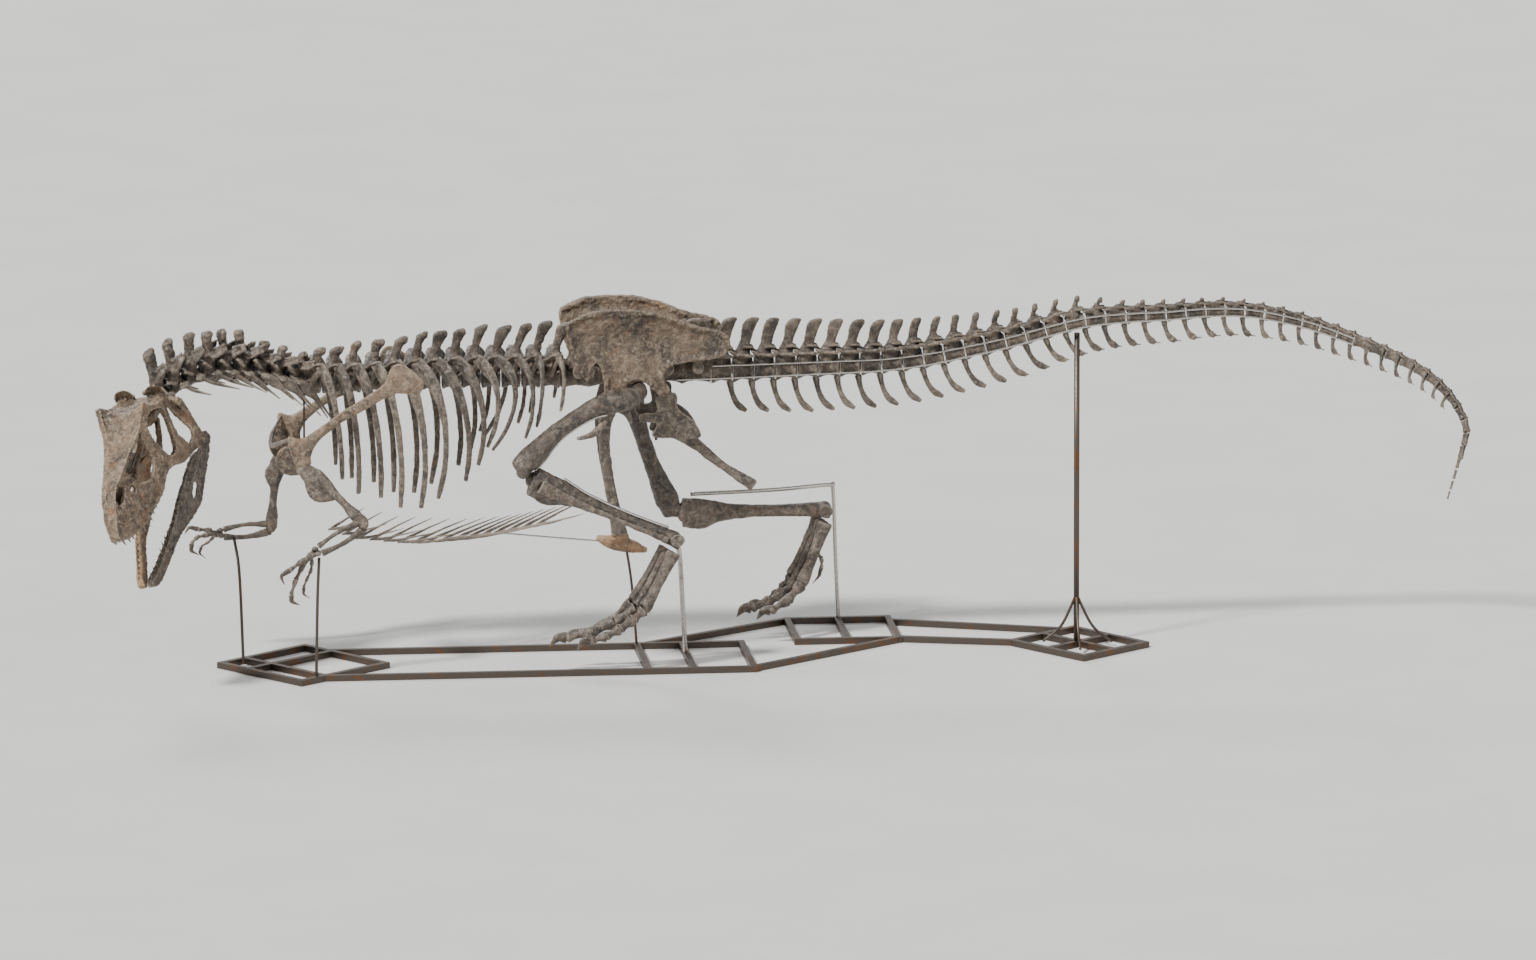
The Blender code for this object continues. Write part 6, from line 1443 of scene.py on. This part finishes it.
@dataclass
class Leg:
    """One hind leg, folded at the knee and ankle."""

    side: Side
    hip: Vector
    knee: Vector
    shin_top: Vector
    ankle: Vector
    foot_top: Vector
    foot_end: Vector
    # How far the row of long foot bones is turned backwards
    turn: float
    # Toes: side shift at the root, spread at the tip, reach, bones, claw length
    toes: Sequence[tuple[float, float, float, int, float]]
    thigh_half_up: Span = (0.046, 0.048, 0.064, 0.068, 0.054, 0.046, 0.044, 0.045, 0.050, 0.062,
                           0.070, 0.050)
    shin_half_up: Span = (0.086, 0.074, 0.046, 0.036, 0.034, 0.038, 0.046)

    def thigh_path(self) -> list[Vector]:
        """The points of the thigh bone's middle, from inside the socket to the knee."""
        left = self.side is Side.LEFT
        hip, knee, out = self.hip, self.knee, self.side.out
        top = hip + out * 0.095 + Vector((-0.010, 0, 0))
        down = (knee - top).normalized()
        bow = Vector((-0.045, 0, 0.045)) if left else Vector((-0.030, 0, 0))
        return [hip - out * 0.020, hip + out * 0.045, top + down * 0.055, top.lerp(knee, 0.28) + bow,
                top.lerp(knee, 0.62) + bow, top.lerp(knee, 0.90) + bow * 0.2, knee + down * 0.035]

    def bar(self, path: Points, half_up: Span, first: int, last: int, away: Vector) -> Shape:
        """A flat steel bar along part of a bone, on the side that faces away.

        Args:
            path: The points of the bone's middle.
            half_up: The bone's half sizes on that side, spread over its length.
            first: The first of 13 even steps along the bone that the bar covers.
            last: The last of them.
            away: Roughly which side of the bone it lies on.

        Returns:
            The closed shape.
        """
        middle = [Vector(p) for p in smooth_path(path, 13)]
        reach, points = spread(half_up, 13), []
        for k in range(first, last + 1):
            tangent = (middle[min(k + 1, 12)] - middle[k - 1]).normalized()
            off = (away - tangent * away.dot(tangent)).normalized()
            points.append(middle[k] + off * (reach[k] + 0.005))
        return bent(points, 40, [0.013], [0.0085], 12)

    def femur(self) -> list[Shape]:
        """The thigh bone with its head turned in to the socket."""
        left = self.side is Side.LEFT
        path, knee, out = self.thigh_path(), self.knee, self.side.out
        top = self.hip + out * 0.095 + Vector((-0.010, 0, 0))
        down = (knee - top).normalized()
        hint = (0, 1, 0) if left else (0.6, 1, 0)
        front = down.cross(out).normalized()
        if (front.x > 0 and not left) or (front.z < 0 and left):
            front.negate()
        half = [0.046, 0.050, 0.056, 0.058, 0.050, 0.046, 0.044, 0.044, 0.047, 0.058, 0.068, 0.046]
        shapes = [bent(path, 34, half, self.thigh_half_up, 18, hint)]
        shapes.append(bent([
            top + down * 0.03 + front * 0.030, top + down * 0.16 + front * 0.075,
            top + down * 0.30 + front * 0.048], 10, [0.013, 0.015, 0.010], [0.024, 0.022, 0.010], 10))
        shapes.append(bent([
            top + down * 0.24 - front * 0.030, top + down * 0.34 - front * 0.062,
            top + down * 0.44 - front * 0.036], 10, [0.012, 0.013, 0.010], [0.020, 0.022, 0.010], 10))
        for shift, size in ((0.034, 0.040), (-0.036, 0.036)):
            shapes.append(blob(knee + down * 0.010 + out * shift - front * 0.022,
                               (size, size * 0.72, size * 1.2)))
        return shapes

    def shin(self, which: str) -> list[Shape]:
        """The tibia or the fibula, which lies on the outer side."""
        top, low = self.shin_top, self.ankle
        along = (low - top).normalized()
        out = (self.side.out - along * self.side.out.dot(along)).normalized()
        crest = along.cross(out).normalized() * self.side.value
        if which == "tibia":
            return [
                bent([top - along * 0.015, top.lerp(low, 0.18), top.lerp(low, 0.55), low], 26,
                     [0.056, 0.050, 0.038, 0.033, 0.032, 0.040, 0.056], self.shin_half_up, 18),
                bent([top + crest * 0.055, top.lerp(low, 0.12) + crest * 0.072,
                      top.lerp(low, 0.26) + crest * 0.034],
                     9, [0.014, 0.015, 0.010], [0.030, 0.028, 0.010], 10),
                blob(top + out * 0.032 - along * 0.008, (0.042, 0.030, 0.048)),
                blob(top - out * 0.032 - along * 0.008, (0.042, 0.030, 0.048)),
                blob(low + out * 0.032, (0.030, 0.022, 0.034)),
                blob(low - out * 0.032, (0.034, 0.022, 0.034)),
            ]
        first, last, up = out * 0.074, out * 0.058, crest * 0.012
        return [bent([top + first + along * 0.015, top.lerp(low, 0.3) + first * 0.95 + up,
                      top.lerp(low, 0.93) + last + up], 20, [0.014, 0.013, 0.011, 0.010, 0.012],
                     [0.042, 0.028, 0.016, 0.013, 0.019], 12)]

    def foot(self) -> tuple[list[bpy.types.Mesh], list[bpy.types.Mesh]]:
        """The ankle, the long foot bones and the toes.

        Returns:
            The meshes of the bones, and those of the claws.
        """
        top, end = self.foot_top, self.foot_end
        along = (end - top).normalized()
        out = (self.side.out - along * self.side.out.dot(along)).normalized()
        across, rear = out, along.cross(out).normalized()
        if rear.x < 0:
            rear.negate()
        out = out * math.cos(self.turn) + rear * (math.sin(self.turn) * self.side.value)
        clay = Clay(voxel=0.0044, rounds=2, lump=0.007, pit=0.0030)
        fine = Clay(voxel=0.0038, rounds=1, lump=0.004, lump_size=0.030, pit=0.0018)
        bones, claws, start = [], [], self.ankle
        for row, reach in ((-1, 0.94), (0, 1.0), (1, 0.95)):
            a = top + out * (0.038 * row) - along * 0.020
            b = top + (end - top) * reach + out * (0.056 * row)
            bones.append(clay.sculpt([
                bent([a, a.lerp(b, 0.5) + out * (0.004 * row), b], 20, [0.033, 0.026, 0.023, 0.025, 0.033],
                     [0.043, 0.035, 0.030, 0.031, 0.040], 14),
                blob(b + out * 0.014, (0.028, 0.017, 0.032)), blob(b - out * 0.014, (0.028, 0.017, 0.032))]))
        bones.append(clay.sculpt([
            bent([start - across * 0.058, start, start + across * 0.058], 10,
                 [0.036, 0.030, 0.036], [0.042, 0.036, 0.042], 14, (0, 0, 1)),
            bent([start, start.lerp(top, 0.50)], 2, [0.052, 0.050], [0.036, 0.040], 14, (0, 1, 0))]))
        inner = out * -0.040
        steps = ((0.45, 0.018), (0.55, 0.060), (0.72, 0.085), (0.88, 0.090), (1.02, 0.070))
        spur = [top.lerp(end, share) + Vector((back, 0, 0)) + inner for share, back in steps]
        dew = digit(spur[:3], 0.015, 2, spur[3:], fine)
        bones += dew[:-1]
        claws.append(dew[-1])
        ahead, side_way = Vector((-1, 0, 0)), self.side.out
        for root, tip_shift, reach, count, claw in self.toes:
            begin = top + (end - top) * (1.0 if root == 0 else 0.95) + out * root
            drop, wide = begin.z - 0.185, tip_shift - root
            path = [begin + along * 0.016]
            for share, across, sunk in ((0.30, 0.3, 0.45), (0.66, 0.7, 0.78), (1.00, 1.0, 0.92)):
                path.append(begin + ahead * (reach * share) + side_way * (wide * across)
                            + DOWN * (drop * sunk))
            nail = [path[3] + ahead * (claw * 0.62) + DOWN * 0.008, path[3] + ahead * claw + DOWN * 0.052]
            made = digit(path, 0.038 if root == 0 else 0.034, count, nail, fine)
            bones += made[:-1]
            claws.append(made[-1])
        return bones, claws

    def build(self) -> None:
        """Makes and dresses the leg."""
        word, clay = self.side.word, Clay(rounds=3, lump=0.008, pit=0.0028)
        show(f"thigh_{word}", [clay.sculpt(self.femur())], BROWN, [f"femur_{word}"])
        for name in ("tibia", "fibula"):
            show(f"{name}_{word}_bone", [clay.sculpt(self.shin(name))], BROWN, [f"{name}_{word}"])
        bones, claws = self.foot()
        show(f"foot_{word}_bones", bones, BROWN, [f"foot_{word}"])
        show(f"foot_{word}_claws", claws, CLAW)
        if self.side is Side.LEFT:
            shin = [self.shin_top, self.shin_top.lerp(self.ankle, 0.5), self.ankle]
            thigh_bar = self.bar(self.thigh_path(), self.thigh_half_up, 4, 11, Vector((0.46, 0, -0.89)))
            shin_bar = self.bar(shin, self.shin_half_up, 2, 11, Vector((0.42, 0, 0.91)))
            show("thigh_bar", [raw_mesh([thigh_bar])], POLISHED, ["stand_bar_thigh"])
            show("shin_bar", [raw_mesh([shin_bar])], POLISHED, ["stand_bar_shin"])


@dataclass
class Belly:
    """The belly ribs and the wishbone."""

    count: int = 16

    def rods(self) -> list[list[Shape]]:
        """The belly ribs, a left and a right rod of two pieces for each row."""
        made = []
        for k in range(self.count):
            share = k / (self.count - 1)
            x = -1.74 + 1.164 * share
            z = pick(x, [-1.80, -1.60, -1.30, -1.00, -0.70, -0.50],
                     [0.780, 0.705, 0.670, 0.690, 0.740, 0.775])
            back = pick(share, [0, 0.5, 1], [0.20, 0.34, 0.24])
            wide = pick(share, [0, 0.33, 0.67, 1], [0.150, 0.200, 0.200, 0.150])
            for s in (1, -1):
                inner = [(x - 0.012, s * 0.010, z + 0.002), (x + back * 0.24, -s * wide * 0.36, z + 0.022),
                         (x + back * 0.60, -s * wide * 0.68, z + 0.052)]
                outer = [(x + back * 0.34, -s * wide * 0.46, z + 0.034),
                         (x + back * 0.70, -s * wide * 0.78, z + 0.062),
                         (x + back * 1.04, -s * wide * 1.02, z + 0.092)]
                made.append([bent(inner, 14, [0.005, 0.009, 0.008, 0.004],
                                  [0.006, 0.010, 0.008, 0.004], 8, (1, 0, 0.3))])
                made.append([bent(outer, 12, [0.004, 0.006, 0.005, 0.003],
                                  [0.004, 0.006, 0.005, 0.003], 8, (1, 0, 0.3))])
        return made

    def build(self) -> None:
        """Makes and dresses the belly ribs and the wishbone."""
        fine = Clay(voxel=0.0037, rounds=1, lump=0.002, lump_size=0.03, pit=0.001)
        show("belly_ribs", [fine.sculpt(rod) for rod in self.rods()], BROWN, ["gastralia"])
        fork = bent([(-1.985, -0.332, 1.350), (-2.035, -0.190, 1.300), (-2.070, 0.0, 1.250),
                     (-2.035, 0.190, 1.300), (-1.985, 0.332, 1.350)], 30,
                    [0.007, 0.009, 0.012, 0.009, 0.007], [0.010, 0.013, 0.017, 0.013, 0.010], 12,
                    (1, 0, 0.060))
        show("wishbone", [fine.sculpt([fork])], BROWN, ["furcula"])


# Steel
@dataclass
class Stand:
    """The floor frames, the posts, and the rods that carry the bones."""

    bone: Backbone
    top: float = 0.018
    tail_post: tuple[float, float] = (2.461, 0.000)
    feet: Points = ((2.107, 0.064), (2.458, -0.397), (2.845, -0.042), (2.491, 0.391))
    posts: Sequence[tuple[str, float, Points, bool]] = (
        ("hand_right", 0.0085, ((-2.236, -0.060, 0.018), (-2.245, 0.080, 0.5),
                                (-2.262, 0.235, 0.680)), False),
        ("hand_left", 0.0085, ((-1.866, -0.507, 0.018), (-1.858, -0.500, 0.45),
                               (-1.846, -0.480, 0.700)), False),
        ("pubis", 0.0075, ((0.000, 0.190, 0.018), (-0.040, 0.080, 0.40), (-0.080, 0.010, 0.640)), False),
        ("leg_left", 0.0135, ((0.250, -0.060, 0.018), (0.225, -0.150, 0.30), (0.190, -0.330, 0.640),
                              (0.165, -0.370, 0.720)), True),
        ("leg_right", 0.0115, ((1.200, 0.770, 0.018), (1.180, 0.740, 0.40), (1.160, 0.690, 0.790),
                               (1.130, 0.640, 0.824), (0.800, 0.520, 0.827), (0.330, 0.450, 0.827)), True))

    def rod(self, points: Points, radius: float, smooth: bool = True) -> Shape:
        """A round rod through the points."""
        count = 14 * (len(points) - 1) if smooth and len(points) > 2 else 2
        lead = Vector(points[-1]) - Vector(points[0])
        hint = (1, 0, 0) if abs(lead.x) < abs(lead.z) else (0, 1, 0)
        return bent(points, count, [radius], [radius], 14, hint)

    def tail_rod(self, turn: int) -> Shape:
        """The rod along the left side of the tail, above or below its middle."""
        joints, spots = self.bone.tail_joints(), []
        if turn < 0:
            spots += [(self.bone.at_x(x), 0) for x in (0.190, 0.300)]
        spots += [(joints[n] + 0.004, n) for n in range(0, 33, 2)]
        path = []
        for length, n in spots:
            reach = Tail.radius(n) * 0.90 + 0.0064
            path.append(self.bone.seat(length).at(0, reach * math.cos(math.pi / 6), turn * reach * 0.52))
        return self.rod(path, 0.0055)

    def build(self) -> None:
        """Makes and dresses the steel."""
        for name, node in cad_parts.items():
            if name.startswith(("stand_front", "stand_middle", "stand_side", "stand_tail_frame", "stand_rail",
                                "stand_brace")):
                node.data.materials.clear()
                node.data.materials.append(STEEL.material())
                edge = node.modifiers.new("edge", "BEVEL")
                edge.width, edge.segments, edge.limit_method = 0.0025, 2, "ANGLE"
        for name, radius, path, bright in self.posts:
            show(f"post_{name}", [raw_mesh([self.rod(path, radius)])], POLISHED if bright else STEEL,
                 [f"stand_post_{name}"])
        x, y = self.tail_post
        shapes = [self.rod([(x, y, self.top), (x, y, 1.795)], 0.016)]
        for fx, fy in self.feet:
            out = Vector((fx - x, fy - y, 0)) * 0.52
            shapes.append(self.rod([Vector((x, y, 0.300)), Vector((x, y, 0.120)) + out * 0.45,
                                    Vector((x, y, 0.028)) + out], 0.008))
        show("post_tail", [raw_mesh(shapes)], STEEL, ["stand_post_tail"])
        wire = self.rod([(-0.80, 0, 0.722), (-0.50, 0, 0.690), (-0.20, 0, 0.660)], 0.0045)
        show("belly_wire", [raw_mesh([wire])], POLISHED, ["stand_belly_wire"])
        hanger = [self.rod([(-1.886, 0, 1.580), (-1.886, 0, 1.265)], 0.006),
                  self.rod([(-1.888, -0.345, 1.290), (-1.888, 0.345, 1.290)], 0.0065)]
        show("shoulder_hanger", [raw_mesh(hanger)], STEEL, ["stand_shoulder_hanger"])
        for word, turn in (("upper", 1), ("lower", -1)):
            show(f"tail_rod_{word}", [raw_mesh([self.tail_rod(turn)])], POLISHED, [f"stand_tail_rod_{word}"])


# Room
@dataclass
class Room:
    """The pale floor, the soft light and the camera."""

    azimuth: float = -6.0
    elevation: float = 11.5
    distance: float = 150.0
    lens: float = 627.75
    target: Vector = field(default_factory=lambda: Vector((0.7207, 0.0, 0.9905)))

    def floor(self) -> None:
        """A wide pale floor."""
        mesh = bpy.data.meshes.new("floor")
        reach = 320.0
        mesh.from_pydata([(-reach, -reach, 0), (reach, -reach, 0), (reach, reach, 0), (-reach, reach, 0)], [],
                         [(0, 1, 2, 3)])
        m = Mixer("pale_floor")
        cloud = m.step(m.noise(1.2, 3.0), 0.3, 0.7)
        paint = m.mix(cloud, (0.640, 0.630, 0.610, 1), (0.670, 0.660, 0.640, 1))
        m.feed(m.shader.inputs["Base Color"], paint)
        m.shader.inputs["Roughness"].default_value = 0.8
        mesh.materials.append(m.material)
        floor = bpy.data.objects.new("floor", mesh)
        bpy.context.scene.collection.objects.link(floor)

    def light(self) -> None:
        """A soft key from the upper left, a fill from the right, and an even pale room."""
        for name, turn, power, size in (("key", (40, -20, -30), 4.5, 7), ("fill", (62, 10, 46), 0.7, 40),
                                        ("rim", (-50, 12, 20), 1.2, 16)):
            sun = bpy.data.lights.new(name, "SUN")
            sun.energy, sun.angle = power, math.radians(size)
            lamp = bpy.data.objects.new(name, sun)
            lamp.rotation_euler = [math.radians(a) for a in turn]
            bpy.context.scene.collection.objects.link(lamp)
        world = bpy.data.worlds.new("room")
        world.use_nodes = True
        world.node_tree.nodes["Background"].inputs[0].default_value = (0.90, 0.92, 0.95, 1)
        world.node_tree.nodes["Background"].inputs[1].default_value = 0.38
        bpy.context.scene.world = world

    def camera(self) -> None:
        """A camera at the photograph's angle, with a long lens."""
        a, e = math.radians(self.azimuth), math.radians(self.elevation)
        back = Vector((math.sin(a) * math.cos(e), -math.cos(a) * math.cos(e), math.sin(e)))
        made = bpy.data.objects.new("camera", bpy.data.cameras.new("camera"))
        bpy.context.scene.collection.objects.link(made)
        made.location = self.target + back * self.distance
        made.rotation_euler = (-back).to_track_quat("-Z", "Y").to_euler()
        made.data.lens, made.data.sensor_width = self.lens, 36.0
        made.data.clip_start, made.data.clip_end = 1.0, 900.0
        bpy.context.scene.camera = made

    def build(self) -> None:
        """Makes the room."""
        self.floor()
        self.light()
        self.camera()


def arms() -> list[Arm]:
    """Both arms, each in its own pose."""
    left = [
        ([(-1.930, -0.520, 0.700), (-2.010, -0.525, 0.645)], 0.019, 2,
         [(-2.062, -0.525, 0.605), (-2.040, -0.520, 0.552)]),
        ([(-1.945, -0.490, 0.650), (-1.985, -0.490, 0.560), (-2.005, -0.490, 0.495)], 0.018, 3,
         [(-2.000, -0.490, 0.455), (-1.950, -0.488, 0.432)]),
        ([(-1.890, -0.455, 0.620), (-1.915, -0.452, 0.570), (-1.930, -0.450, 0.530)], 0.013, 4,
         [(-1.930, -0.450, 0.488), (-1.895, -0.450, 0.462)])]
    right = [
        ([(-2.400, 0.200, 0.728), (-2.465, 0.190, 0.738)], 0.018, 2,
         [(-2.520, 0.185, 0.748), (-2.545, 0.180, 0.710)]),
        ([(-2.420, 0.245, 0.692), (-2.480, 0.240, 0.680), (-2.500, 0.240, 0.650)], 0.017, 3,
         [(-2.500, 0.240, 0.605), (-2.455, 0.240, 0.580)]),
        ([(-2.390, 0.290, 0.650), (-2.420, 0.290, 0.635), (-2.440, 0.290, 0.620)], 0.012, 3,
         [(-2.450, 0.290, 0.580), (-2.415, 0.290, 0.550)])]
    return [
        Arm(Side.LEFT, Vector((-1.915, -0.345, 1.165)), Vector((-1.590, -0.430, 0.875)),
            Vector((-1.850, -0.485, 0.740)), left),
        Arm(Side.RIGHT, Vector((-1.975, 0.335, 1.135)), Vector((-2.045, 0.330, 0.710)),
            Vector((-2.325, 0.250, 0.700)), right)]


def legs() -> list[Leg]:
    """Both legs, each in its own pose."""
    return [
        Leg(Side.LEFT, Vector((-0.030, -0.205, 1.560)), Vector((-0.715, -0.540, 1.212)),
            Vector((-0.640, -0.520, 1.112)), Vector((0.165, -0.385, 0.740)), Vector((0.118, -0.388, 0.665)),
            Vector((-0.050, -0.420, 0.375)), math.radians(32), [
                (-0.056, -0.110, 0.30, 2, 0.095), (0.000, -0.010, 0.40, 3, 0.100),
                (0.056, 0.100, 0.31, 4, 0.080)]),
        Leg(Side.RIGHT, Vector((-0.025, 0.205, 1.560)), Vector((0.215, 0.430, 0.752)),
            Vector((0.295, 0.430, 0.727)), Vector((1.085, 0.405, 0.733)), Vector((1.062, 0.405, 0.653)),
            Vector((0.925, 0.420, 0.322)), math.radians(26), [
                (-0.056, -0.200, 0.19, 2, 0.085), (0.000, -0.110, 0.26, 3, 0.090),
                (0.056, -0.005, 0.20, 4, 0.075)])]


def main() -> None:
    """Builds the sub-assemblies in order."""
    logging.basicConfig(level=logging.INFO, format="%(message)s")
    bone = Backbone()
    for part in (Tail(bone), Trunk(bone), Neck(bone), Hips(bone), Head(), *arms(), *legs(), Belly(),
                 Stand(bone), Room()):
        part.build()
        LOG.info("built %s", type(part).__name__)


if __name__ == "__main__":
    main()
